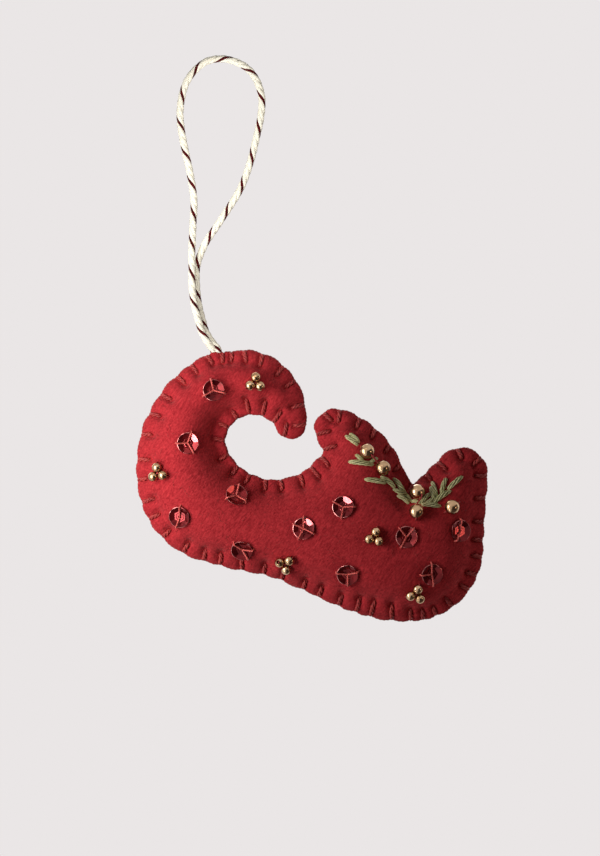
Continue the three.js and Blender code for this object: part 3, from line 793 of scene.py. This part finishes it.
# %% [markdown]
# What is sewn on has to rest on the felt. Each sequin and bead keeps its place in the model, so that
# is read first: the middle of a bead, and for a sequin also the direction that it faces.

# %% Places of the trimmings
SEQUINS = [f"sequin_{i}" for i in range(1, 12)]
CLUSTERS = [[f"seed_bead_{i}_{k}" for k in (1, 2, 3)] for i in range(1, 6)]
GARLAND_COUNTS = {"front": 2, "middle": 2, "back": 1}
GARLAND = {
    name: [f"garland_bead_{name}_{k + 1}" for k in range(count)]
    for name, count in GARLAND_COUNTS.items()}
SEED_BEAD = 2.66
GARLAND_BEAD = 4.0
BEAD_SINK = 0.15
SEQUIN_CLEAR = 0.35
DRAWN_WIDTH = 2.6
RAY_START = 60


def node_points(name):
    """The corners of a model node, in millimetres from the seam exit."""
    return points_of(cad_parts[name].data) / MM - np.array(BOOT_PLACE)


def middle_of(points):
    return (points.min(axis=0) + points.max(axis=0)) / 2


def node_centre(name):
    return middle_of(node_points(name))


def seat_of(name):
    """Where a flat node sits: the middle of its underside, and the direction it faces."""
    points = node_points(name)
    centre = middle_of(points)
    normal = np.linalg.svd(points - points.mean(axis=0))[2][2]
    normal = normal if normal[1] < 0 else -normal
    return centre + normal * ((points - centre) @ normal).min(), normal


def felt_tree(points):
    return BVHTree.FromPolygons(
        [Vector(p) for p in points], [tuple(p.vertices) for p in boot_mesh.polygons])


def met_from(tree, spot, side=-1):
    """Where a ray square to the pattern meets the felt, and the normal. Side -1 is the front."""
    start = Vector((spot[0], side * RAY_START, spot[-1]))
    return tree.ray_cast(start, Vector((0, -side, 0)))[:2]


resting = [(seat_of(name)[0], SEQUIN_CLEAR) for name in SEQUINS]
for names in CLUSTERS:
    resting += [(node_centre(name), SEED_BEAD / 2 - BEAD_SINK) for name in names]
for names in GARLAND.values():
    resting += [(node_centre(name), GARLAND_BEAD / 2 - BEAD_SINK) for name in names]
spots = np.array([spot[[0, 2]] for spot, _ in resting])
print("pieces that rest on the felt:", len(spots))

# %% [markdown]
# The felt is drawn to the trimmings. The gap under every piece is measured, and one soft bump or
# dimple for each closes them all. They are solved together, because those of neighbours overlap.

# %% Felt drawn to the trimmings
DRAWS = 3
EVEN_OUT = 0.05
FRONT_FROM, FRONT_OVER = 1, 2


def gaps_under(points):
    tree = felt_tree(points)
    gaps = []
    for spot, reach in resting:
        hit, normal = met_from(tree, spot)
        gaps.append(spot[1] + reach / abs(normal.y) - hit.y)
    return np.array(gaps)


def nearness(places):
    return bell(distances(places, spots), DRAWN_WIDTH)


for turn in range(DRAWS):
    gaps = gaps_under(points)
    pull = np.linalg.solve(nearness(spots) + EVEN_OUT * np.eye(len(spots)), gaps)
    front = np.clip((-points[:, 1] - FRONT_FROM) / FRONT_OVER, 0, 1)
    points[:, 1] += front * (nearness(points) @ pull)
print("gaps left, mm:", [round(g, 2) for g in gaps_under(points)])

# %% [markdown]
# Now the fine work: each leg of thread presses a groove into the felt and nips the edge in, and a
# shallow line between the two felts runs round the edge.

# %% Grooves of the stitches and the seam line
GROOVE_DEPTH = 0.7
GROOVE_WIDTH = 0.6
GROOVE_START = -0.2
FADE_START, FADE_RATE = 0.25, 2.5
NIP = 0.4
NIP_WIDTH = 0.8
SEAM_DEPTH = 0.45
SEAM_WIDTH = 0.35
SEAM_REACH = 1.2

set_points(boot_mesh, points)
normals = points_of(boot_mesh, "normal")

groove = np.zeros(len(points))
flat_points = points[:, [0, 2]]
for root, tip in zip(roots, tips):
    leg = tip - root
    share = np.clip(((flat_points - root) @ leg) / (leg @ leg), GROOVE_START, 1)
    gap = np.linalg.norm(flat_points - root - share[:, None] * leg, axis=1)
    fade = np.clip(FADE_START + FADE_RATE * share, 0, 1)
    groove = np.maximum(groove, fade * bell(gap, GROOVE_WIDTH))
nip = bell(distances(points, roots).min(axis=1), NIP_WIDTH)
seam = np.exp(-(points[:, 1] / SEAM_WIDTH)**2) * (edge_distance(points) < SEAM_REACH)
points -= normals * (GROOVE_DEPTH * groove + SEAM_DEPTH * seam)[:, None]
outward = normals * (1, 0, 1)
points -= outward * (NIP * nip)[:, None]
set_points(boot_mesh, points)
boot_mesh.shade_smooth()
surface = felt_tree(points)
print("felt has", len(points), "points")

# %% [markdown]
# Threads and stitches lie on the felt as it is now. Two helpers find its surface: one looks from the
# front or the back, the other looks at the edge from outside.

# %% Places on the felt
EDGE_START = 1.2


def on_felt(spot, lift=0.0, side=-1):
    """A point on the felt at a place of the pattern, raised square to the felt."""
    hit, normal = met_from(surface, spot, side)
    if hit is None:
        hit, normal, _, _ = surface.find_nearest(Vector((spot[0], side * EDGE_HALF, spot[-1])))
    return np.array(hit + normal * lift)


def on_edge(run, y, lift=0.0):
    """A point on the felt's edge, met from outside, square to the pattern's line."""
    inward, _ = edge_inward(run)
    inward = Vector((inward[0], 0, inward[1]))
    spot = edge_point(run)
    hit, _, _, _ = surface.ray_cast(Vector((spot[0], y, spot[1])) - inward * EDGE_START, inward)
    return np.array(hit - inward * lift)


print("the seam exit is at", [round(v, 1) for v in on_edge(0, 0)], "mm")

# %% [markdown]
# Wool felt has no weave. Its fibres lie in all directions, brushed a little one way, so the finish
# mixes a fine grain, streaks that run slantwise, and broad patches where the dye is uneven. A sheen
# stands for the down of loose fibres that catches light at a glancing angle.

# %% Felt finish
felt, inputs, place = new_finish(
    "red_wool_felt", Roughness=0.92, Specular_IOR_Level=0.15, Sheen_Weight=0.22,
    Sheen_Roughness=0.45, Sheen_Tint=(1, 0.45, 0.42, 1))
grain = noise_of(place, 2.0, detail=5, swirl=0.8)
nap = noise_of(place, 1.3, detail=4, stretch=(0.5, 1, 2.2), turn=(0, 38, 0), swirl=0.7)
patches = noise_of(place, 0.12, detail=3, swirl=0.4)
streaked = mixed(
    spread_out(nap, 0.36, 0.64), (0.25, 0.008, 0.014, 1), (0.58, 0.038, 0.048, 1))
grained = mixed(
    spread_out(grain, 0.34, 0.66), (0.28, 0.009, 0.015, 1), (0.58, 0.040, 0.048, 1))
feed(inputs["Base Color"], mixed(patches, streaked, grained))
fine_bump = bump_of(grain, depth_mm=0.22, strength=0.55)
feed(inputs["Normal"], bump_of(nap, depth_mm=0.25, strength=0.5, Normal=fine_bump))

boot_mesh.materials.clear()
boot_mesh.materials.append(felt)
boot = finished("felt_boot", boot_mesh)
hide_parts("front_felt_panel", "back_felt_panel", "fibre_filling")

# %% [markdown]
# The edge thread is stranded floss, three strands loosely twisted. One run lies along the edge, and
# at each stitch a leg goes over it onto the front and onto the back, and dives into the felt.

# %% Blanket stitch
floss = fibre_finish(
    "red_floss", (0.24, 0.012, 0.015, 1), (0.50, 0.048, 0.042, 1), 2.4, 0.1,
    Roughness=0.6)
FLOSS_COUNT = 3
FLOSS_STRAND = 0.29
FLOSS_OFFSET = 0.32
FLOSS_PITCH = (3, 4.2)
LARGEST_PHASE = 6
OVER_EDGE = ((0.1, -0.35), (0.8, -0.28))
LEG_SHARES = (0.2, 0.42, 0.66, 0.88)
LEG_LIFT = 0.42
LEG_RISE = 2.4
LEG_END, LEG_DIVE = 1.06, -0.5
LEG_STEP = 0.3
LEG_THIN, LEG_PART = 0.45, (0.12, 0.96)
BULGE_POWER = 0.6
BACK_VARIES = (0.85, 1.1)
EDGE_SHARES = (0, 0.33, 0.67)
EDGE_WANDER = (-0.25, 0.15)
EDGE_STEP, EDGE_PITCH = 0.45, 3.1
EDGE_THIN = 0.8


def bulging(thin, share):
    """The width of a thread along its way: thin at the ends and full in the middle."""
    return thin + (1 - thin) * np.sin(math.pi * share)**BULGE_POWER


strands = []
for run, root, tip in zip(stitch_runs, roots, tips):
    for side in (-1, 1):
        reach = (tip - root) * (1 if side < 0 else chance.uniform(*BACK_VARIES))
        route = [on_edge(run, side * y, lift) for y, lift in OVER_EDGE]
        for share in LEG_SHARES:
            spot = root + reach * share
            route.append(on_felt(spot, LEG_LIFT * min(1, LEG_RISE * share), side))
        route.append(on_felt(root + reach * LEG_END, LEG_DIVE, side))
        line = smooth_line(route, LEG_STEP)
        width = bulging(LEG_THIN, np.linspace(*LEG_PART, len(line)))
        strands += twisted(
            line, FLOSS_COUNT, FLOSS_OFFSET * width, FLOSS_STRAND * width,
            chance.uniform(*FLOSS_PITCH), chance.uniform(0, LARGEST_PHASE))

edge_route = []
for here, ahead in zip(stitch_runs, stitch_runs[1:]):
    for share in EDGE_SHARES:
        spot = here + (ahead - here) * share
        edge_route.append(on_edge(spot, chance.uniform(*EDGE_WANDER)))
strands += twisted(
    smooth_line(edge_route, EDGE_STEP), FLOSS_COUNT, EDGE_THIN * FLOSS_OFFSET,
    EDGE_THIN * FLOSS_STRAND, EDGE_PITCH)
stitching = sewn("edge_stitches", strands, floss)
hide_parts("edge_stitch_thread")

# %% [markdown]
# Sequin film is clear plastic with a red metal coat. It mirrors like a dark glass, with a cloudy tint,
# and small scuffs blur the mirror here and there. The lip at the cut edge is a real part, but its
# lighter metal colour is a painted highlight: the light line that the rim catches.

# %% Sequin film
CLOUD_RANGE = (0.35, 0.65)


def mirror_finish(name, dark, light, clouds, scuffs, blur, **sockets):
    """A coat that mirrors the room. Clouds is (clouds to a millimetre, detail)."""
    material, inputs, place = new_finish(name, **sockets)
    cloudy = spread_out(noise_of(place, *clouds), *CLOUD_RANGE)
    feed(inputs["Base Color"], mixed(cloudy, dark, light))
    feed(inputs["Roughness"], spread_out(noise_of(place, scuffs), least=blur[0], most=blur[1]))
    return material


film = mirror_finish(
    "red_sequin_film", (0.09, 0.005, 0.007, 1), (0.22, 0.015, 0.018, 1), clouds=(0.35, 2),
    scuffs=1.2, blur=(0.03, 0.14), Metallic=0.4, Roughness=0.08, Specular_Tint=(1, 0.4, 0.4, 1))
# The lip of each sequin takes this lighter metal colour, which is a painted highlight along the rim.
cut_edge_and_highlight = fibre_finish(
    "cut_film_edge_and_painted_highlight", (0.30, 0.06, 0.06, 1), (0.75, 0.32, 0.30, 1), 0.9, 0.01,
    Metallic=1.0, Roughness=0.25)

# %% [markdown]
# A cup sequin is a disc of film, pressed into a shallow cup with a flat six-sided middle and six flat
# facets, and pierced for the thread. It is made from one ring of edges round the hole, pushed
# outwards ring by ring, and given the thickness of film. It is left flat-shaded, so that each facet
# mirrors the room as one plane.

# %% Sequin shape
SEQUIN_RADIUS = 2.8
HEX_RADIUS = 1.65
HOLE_RADIUS = 0.5
HOLE_RIM = 0.525
MIDDLE_RINGS = ((0.62, 0.0), (0.68, 0.05), (0.74, 0.0), (1.0, 0.0))
CUP_RINGS = (2.2, SEQUIN_RADIUS)
CUP_SLOPE = 0.6
FILM = 0.12
LIP = 0.09
LIP_DROP = 0.4
FACETS = 6
RIM_STEPS = 48


def hexagon_pull(angle):
    """How much of its radius a hexagon keeps at an angle, with a flat side at angle zero."""
    facet = 2 * math.pi / FACETS
    inner = (angle + facet / 2) % facet - facet / 2
    return math.cos(facet / 2) / math.cos(inner), math.cos(inner)


def pushed_out(bm, edges, radius, height):
    grown = bmesh.ops.extrude_edge_only(bm, edges=edges)["geom"]
    for v in grown:
        if isinstance(v, bmesh.types.BMVert):
            angle = math.atan2(v.co.y, v.co.x)
            r = radius(angle)
            v.co = (r * math.cos(angle), r * math.sin(angle), height(angle, r))
    return [e for e in grown if isinstance(e, bmesh.types.BMEdge)]


def cup_height(angle, radius):
    apothem = HEX_RADIUS * math.cos(math.pi / FACETS)
    return CUP_SLOPE * (radius * hexagon_pull(angle)[1] - apothem)


def sequin_mesh(name):
    bm = bmesh.new()
    bmesh.ops.create_circle(bm, segments=RIM_STEPS, radius=HOLE_RADIUS)
    ring = bm.edges[:]
    for share, lift in MIDDLE_RINGS:
        ring = pushed_out(
            bm, ring, lambda a, s=share: max(HOLE_RIM, s * HEX_RADIUS * hexagon_pull(a)[0]),
            lambda a, r, h=lift: h)
    for radius in CUP_RINGS:
        ring = pushed_out(bm, ring, lambda a, r=radius: r, cup_height)
    cup = set(bm.faces)
    pushed_out(
        bm, ring, lambda a: SEQUIN_RADIUS + LIP,
        lambda a, r: cup_height(a, SEQUIN_RADIUS) - LIP_DROP * LIP)
    for face in bm.faces:
        face.material_index = 0 if face in cup else 1
    bmesh.ops.recalc_face_normals(bm, faces=bm.faces)
    if sum(f.normal.z for f in bm.faces) < 0:
        bmesh.ops.reverse_faces(bm, faces=bm.faces)
    bmesh.ops.solidify(bm, geom=bm.faces[:] + bm.edges[:] + bm.verts[:], thickness=FILM)
    return mesh_from(bm, name, film, cut_edge_and_highlight)


# %% [markdown]
# Each sequin sits where the model has it, and is spun about its own axis as it was sewn. Four of them
# are tipped a little, so that one facet throws a lamp into the camera and shines.

# %% Sequins in place
LARGEST_TURN = 17
SEQUIN_SPINS = [20, 31, 10, 0, 25, 55, 60, 45, 35, 0, 30]
GLINTING = {"sequin_1": WINDOW, "sequin_2": GLINT, "sequin_6": GLINT, "sequin_7": GLINT}


def across_of(normal, angle):
    """A direction across a normal, turned by an angle from the right as the front is seen."""
    right = unit(np.array((1, 0, 0)) - normal * normal[0])
    return math.cos(angle) * right + math.sin(angle) * np.cross(normal, right)


def seat_matrix(origin, normal, spin):
    turned = across_of(normal, spin)
    axes = Matrix((turned, np.cross(normal, turned), normal)).transposed()
    return Matrix.Translation(origin) @ axes.to_4x4()


def towards_glint(seat, lamp):
    """The least turn that lets one facet of the sequin throw a lamp into the camera."""
    origin = seat.translation
    slope = math.atan(CUP_SLOPE)
    face = seat.to_3x3() @ Vector((-math.sin(slope), 0, math.cos(slope)))
    eye = (camera.location / MM - BOOT_PLACE - origin).normalized()
    ray = (Vector(lamp) - BOOT_PLACE - origin).normalized()
    turn = face.rotation_difference(ray + eye)
    print("turned by", round(math.degrees(turn.angle), 1), "degrees")
    turn = Matrix.Rotation(min(turn.angle, math.radians(LARGEST_TURN)), 4, turn.axis)
    return Matrix.Translation(origin) @ turn @ Matrix.Translation(-origin) @ seat


sequin_seats = []
for name, spin in zip(SEQUINS, SEQUIN_SPINS):
    seat = seat_matrix(*seat_of(name), math.radians(spin))
    if name in GLINTING:
        seat = towards_glint(seat, GLINTING[name])
    sequin_seats.append((np.array(seat.translation), np.array(seat.col[2][:3])))
    mesh = sequin_mesh("cup_" + name)
    mesh.transform(seat)
    piece = finished("cup_" + name, mesh)
    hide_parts(name)

# %% [markdown]
# Each sequin is tied down by two to four stitches of sewing thread, which come up through the hole
# and run straight over the rim into the felt. The bearings are those of the model.

# %% Sequin ties
ARMS = [
    (105, 345, 210), (72, 180, 300), (80, 205, 325), (85, 255), (135, 8, 307), (90, 156, 333, 243),
    (151, 0, 262), (170, 21, 273), (129, 49, 240), (90, 240), (95, 180, 275),
]
thread = fibre_finish(
    "red_sewing_thread", (0.62, 0.06, 0.05, 1), (0.88, 0.17, 0.14, 1), 4, 0.06,
    Roughness=0.45, Sheen_Weight=0.2)
THREAD_COUNT, THREAD_STRAND, THREAD_OFFSET = 2, 0.14, 0.12
THREAD_PITCH, THREAD_STEP = 1.4, 0.25
RIM_HEIGHT = CUP_SLOPE * (0.93 * SEQUIN_RADIUS - 1.25) + FILM
TIE_LIFT = 0.22
TIE_PROFILE = (
    (0.1, -0.1), (0.3, 0.3), (1.7, 0.55 * RIM_HEIGHT + TIE_LIFT),
    (SEQUIN_RADIUS + 0.05, RIM_HEIGHT + TIE_LIFT))
TIE_REACH = 0.45
TIE_PAST, TIE_DIVE = 0.2, -0.5


def thread_strands(route):
    line = smooth_line(route, THREAD_STEP)
    return twisted(line, THREAD_COUNT, THREAD_OFFSET, THREAD_STRAND, THREAD_PITCH)


strands = []
for (origin, normal), arms in zip(sequin_seats, ARMS):
    for bearing in arms:
        along = across_of(normal, math.radians(bearing))
        route = [origin + along * out + normal * high for out, high in TIE_PROFILE]
        end = origin + along * (SEQUIN_RADIUS + TIE_REACH)
        route += [on_felt(end), on_felt(end + along * TIE_PAST, TIE_DIVE)]
        strands += thread_strands(route)
ties = sewn("sequin_ties", strands, thread)
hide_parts(*[f"sequin_tie_{i}" for i in range(1, 12)])

# %% [markdown]
# The beads are round glass with a gold coat, pierced for the thread. A bead is turned like a bead
# on a lathe: half its outline, with the bore, is spun round the axis of the bore.

# %% Beads
gold = mirror_finish(
    "gold_bead", (0.40, 0.245, 0.125, 1), (0.58, 0.40, 0.24, 1), clouds=(0.5, 4), scuffs=1.1,
    blur=(0.16, 0.26), Metallic=1.0, Roughness=0.2)
BORE = 1.0
BEAD_RINGS = 14
BEAD_SEGMENTS = 32
SHARP = 50


def bead_mesh(name, diameter):
    bm = bmesh.new()
    radius = diameter / 2
    mouth = math.acos(BORE / diameter)
    start = bm.verts.new((radius * math.cos(mouth), 0, -radius * math.sin(mouth)))
    bmesh.ops.spin(
        bm, geom=[start], cent=(0, 0, 0), axis=(0, -1, 0), angle=2 * mouth, steps=BEAD_RINGS)
    bm.verts.ensure_lookup_table()
    bm.edges.new((bm.verts[-1], bm.verts[0]))
    bmesh.ops.spin(
        bm, geom=bm.verts[:] + bm.edges[:], cent=(0, 0, 0), axis=(0, 0, 1),
        angle=2 * math.pi, steps=BEAD_SEGMENTS, use_merge=True)
    bmesh.ops.remove_doubles(bm, verts=bm.verts, dist=1e-4)
    bmesh.ops.recalc_face_normals(bm, faces=bm.faces)
    mesh = mesh_from(bm, name, gold)
    mesh.shade_smooth()
    mesh.set_sharp_from_angle(angle=math.radians(SHARP))
    return mesh


def bead_on(node, diameter, along):
    """A bead in the place of a model node, with its bore along a direction."""
    mesh = bead_mesh("gold_" + node, diameter)
    turn = Vector((0, 0, 1)).rotation_difference(Vector(along))
    mesh.transform(Matrix.Translation(node_centre(node)) @ turn.to_matrix().to_4x4())
    piece = finished("gold_" + node, mesh)
    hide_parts(node)


# %% [markdown]
# Three seed beads stand round one thread hole, each with its bore pointing away from the middle. Three
# beads show their bore to the camera. The larger beads are strung in a row, or sewn on alone.

# %% Beads in place and their threads
BORE_IN_VIEW = {
    "seed_bead_3_1": np.array((-0.31, -0.95, 0.1)),
    "garland_bead_front_1": np.array((0.61, -0.59, -0.53)),
    "garland_bead_middle_1": np.array((0.5, -0.74, -0.44)),
}
SEED_THREAD_IN_VIEW = (-1.4, 0, 0.9)
SEED_MOUTH, SEED_DIVE = 0.1, -0.3
GARLAND_MOUTH, GARLAND_PAST, GARLAND_DIVE = 0.2, 0.3, -0.4
LONE_BEARING = math.radians(215)

strands = []
for names in CLUSTERS:
    middle = np.mean([node_centre(n) for n in names], axis=0)
    for node in names:
        centre = node_centre(node)
        bore = BORE_IN_VIEW.get(node, unit(centre - middle))
        bead_on(node, SEED_BEAD, bore)
        mouth = centre + bore * (SEED_BEAD / 2 - SEED_MOUTH)
        past = centre + bore * (SEED_BEAD / 2 + SEED_MOUTH)
        route = [middle, centre, mouth, on_felt(past, SEED_DIVE)]
        if node in BORE_IN_VIEW:
            route = [centre + out * bore for out in SEED_THREAD_IN_VIEW]
        strands += thread_strands(route)

for nodes in GARLAND.values():
    centres = [node_centre(n) for n in nodes]
    along = np.array((math.cos(LONE_BEARING), 0, math.sin(LONE_BEARING)))
    if len(centres) > 1:
        along = unit(centres[-1] - centres[0])
    route = []
    for node, centre in zip(nodes, centres):
        bore = BORE_IN_VIEW.get(node, along)
        bead_on(node, GARLAND_BEAD, bore)
        mouth = bore * (GARLAND_BEAD / 2 + GARLAND_MOUTH)
        route += [centre - mouth, centre, centre + mouth]
    before, after = route[0] - GARLAND_PAST * along, route[-1] + GARLAND_PAST * along
    strands += thread_strands(
        [on_felt(before, GARLAND_DIVE), *route, on_felt(after, GARLAND_DIVE)])
bead_threads = sewn("bead_threads", strands, floss)
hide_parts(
    *[f"seed_bead_tie_{i}" for i in range(1, 6)],
    *[f"garland_thread_{name}" for name in GARLAND])

# %% [markdown]
# The sprig under the cuff is embroidered in green floss, with five strands in the needle. Each leaf
# is one straight stitch: the strands lie side by side, bulge in the middle where they are free, and
# draw together where they go into the felt.

# %% Sprig
leaf_floss = fibre_finish(
    "green_floss", (0.36, 0.36, 0.14, 1), (0.76, 0.74, 0.42, 1), 2.4, 0.1,
    Roughness=0.6, Sheen_Weight=0.1, Sheen_Tint=(0.9, 1, 0.7, 1))
# A dark green core strand lies under the strands of each stitch. Its colour is painted shade: it
# stands for the deep shade between the strands.
painted_shade_floss = fibre_finish(
    "painted_shade_green_floss", (0.06, 0.065, 0.025, 1), (0.16, 0.16, 0.06, 1), 2.4, 0.1, Roughness=0.7)
SPRIG = {
    "sprig_leaf_top": [(36.1, -22.5, 39.2, -24.9), (37.2, -22, 39.6, -24.2)],
    "sprig_leaf_front": [
        (37.1, -29.4, 43.5, -30.1), (38.8, -27.6, 40.8, -29.3), (42.4, -29.6, 44.5, -28.4)],
    "sprig_stem": [
        (41.4, -34.1, 46.8, -35), (45.6, -33.5, 49.2, -36.4), (48.9, -34, 52.1, -38.7),
        (49, -36.9, 53.9, -40.1), (50, -38.6, 52.9, -40.6), (53.9, -40.1, 56.2, -40.5),
        (56.2, -40.5, 58.9, -37.9), (57.3, -41, 59.9, -39.2),
        (56.7, -40.9, 61.5, -41.3), (59.4, -35, 60.6, -39),
        (58.9, -36.3, 59.8, -39.8), (59.6, -40.3, 64.2, -37.1), (63, -34, 61.7, -38.2),
        (63.6, -36.6, 67.4, -33.3)],
}
SPRIG_STRANDS = 5
SPRIG_STRAND = 0.2
SPRIG_SHADE_CORE = 0.3
SPRIG_HALF_WIDTH = 0.54
SPRIG_STEP = 0.3
SPRIG_THIN = 0.35
SPRIG_PITCH = (7, 10)
LEAST_WIDTH, FULL_AT = 0.4, 9
STITCH_ARCH = ((-0.04, -0.3), (0.1, 0.25), (0.3, 0.5), (0.55, 0.55), (0.8, 0.35), (1.0, -0.3))
for name, stitches in SPRIG.items():
    strands = []
    for x0, z0, x1, z1 in stitches:
        start, reach = np.array((x0, z0)), np.array((x1 - x0, z1 - z0))
        line = smooth_line(
            [on_felt(start + reach * share, lift) for share, lift in STITCH_ARCH], SPRIG_STEP)
        width = min(1, LEAST_WIDTH + np.linalg.norm(reach) / FULL_AT)
        width = width * bulging(SPRIG_THIN, np.linspace(0, 1, len(line)))
        pitch, phase = chance.uniform(*SPRIG_PITCH), chance.uniform(0, LARGEST_PHASE)
        strands += twisted(
            line, SPRIG_STRANDS, SPRIG_HALF_WIDTH * width, SPRIG_STRAND, pitch, phase)
        # the core strand takes the dark floss of painted shade
        strands.append((line, SPRIG_SHADE_CORE * width, 1))
    piece = sewn("green_" + name, strands, leaf_floss, painted_shade_floss)
    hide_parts(name)

# %% [markdown]
# A few loose wool fibres lie on any handled felt. They are hair-thin curved strands, scattered by a
# seeded draw, so that every run of the script leaves them in the same places.

# %% Loose fibres
FIBRES = 600
LONG_FIBRES = 30
LONGEST, LONGEST_OF_REST = 4.5, 2.2
SHORTEST_SHARE = 0.36
LARGEST_BEND = 1.6
FIBRE_STEPS = 4
FIBRE_SINK, FIBRE_ARCH = 0.05, 0.22
FIBRE_RADIUS, FIBRE_SIDES = 0.03, 4
strands = []
low, high = outline.min(axis=0), outline.max(axis=0)
while len(strands) < FIBRES:
    x, z = chance.uniform(low[0], high[0]), chance.uniform(low[1], high[1])
    side = chance.choice((-1, 1))
    if met_from(surface, (x, z), side)[0] is None:
        continue
    longest = LONGEST if len(strands) < LONG_FIBRES else LONGEST_OF_REST
    heading = chance.uniform(0, 2 * math.pi)
    stride = chance.uniform(SHORTEST_SHARE * longest, longest) / FIBRE_STEPS
    bend = chance.uniform(-LARGEST_BEND, LARGEST_BEND)
    route = []
    for k in range(FIBRE_STEPS + 1):
        lift = FIBRE_ARCH * math.sin(math.pi * k / FIBRE_STEPS) - FIBRE_SINK
        route.append(on_felt((x, z), lift, side))
        x += stride * math.cos(heading)
        z += stride * math.sin(heading)
        heading += bend / FIBRE_STEPS
    strands.append((np.array(route), FIBRE_RADIUS, 0))
fluff = sewn("loose_fibres", strands, floss, sides=FIBRE_SIDES)

# %% Sizes
low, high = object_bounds()
print("dressed", [round(1000 * (b - a), 1) for a, b in zip(low, high)])
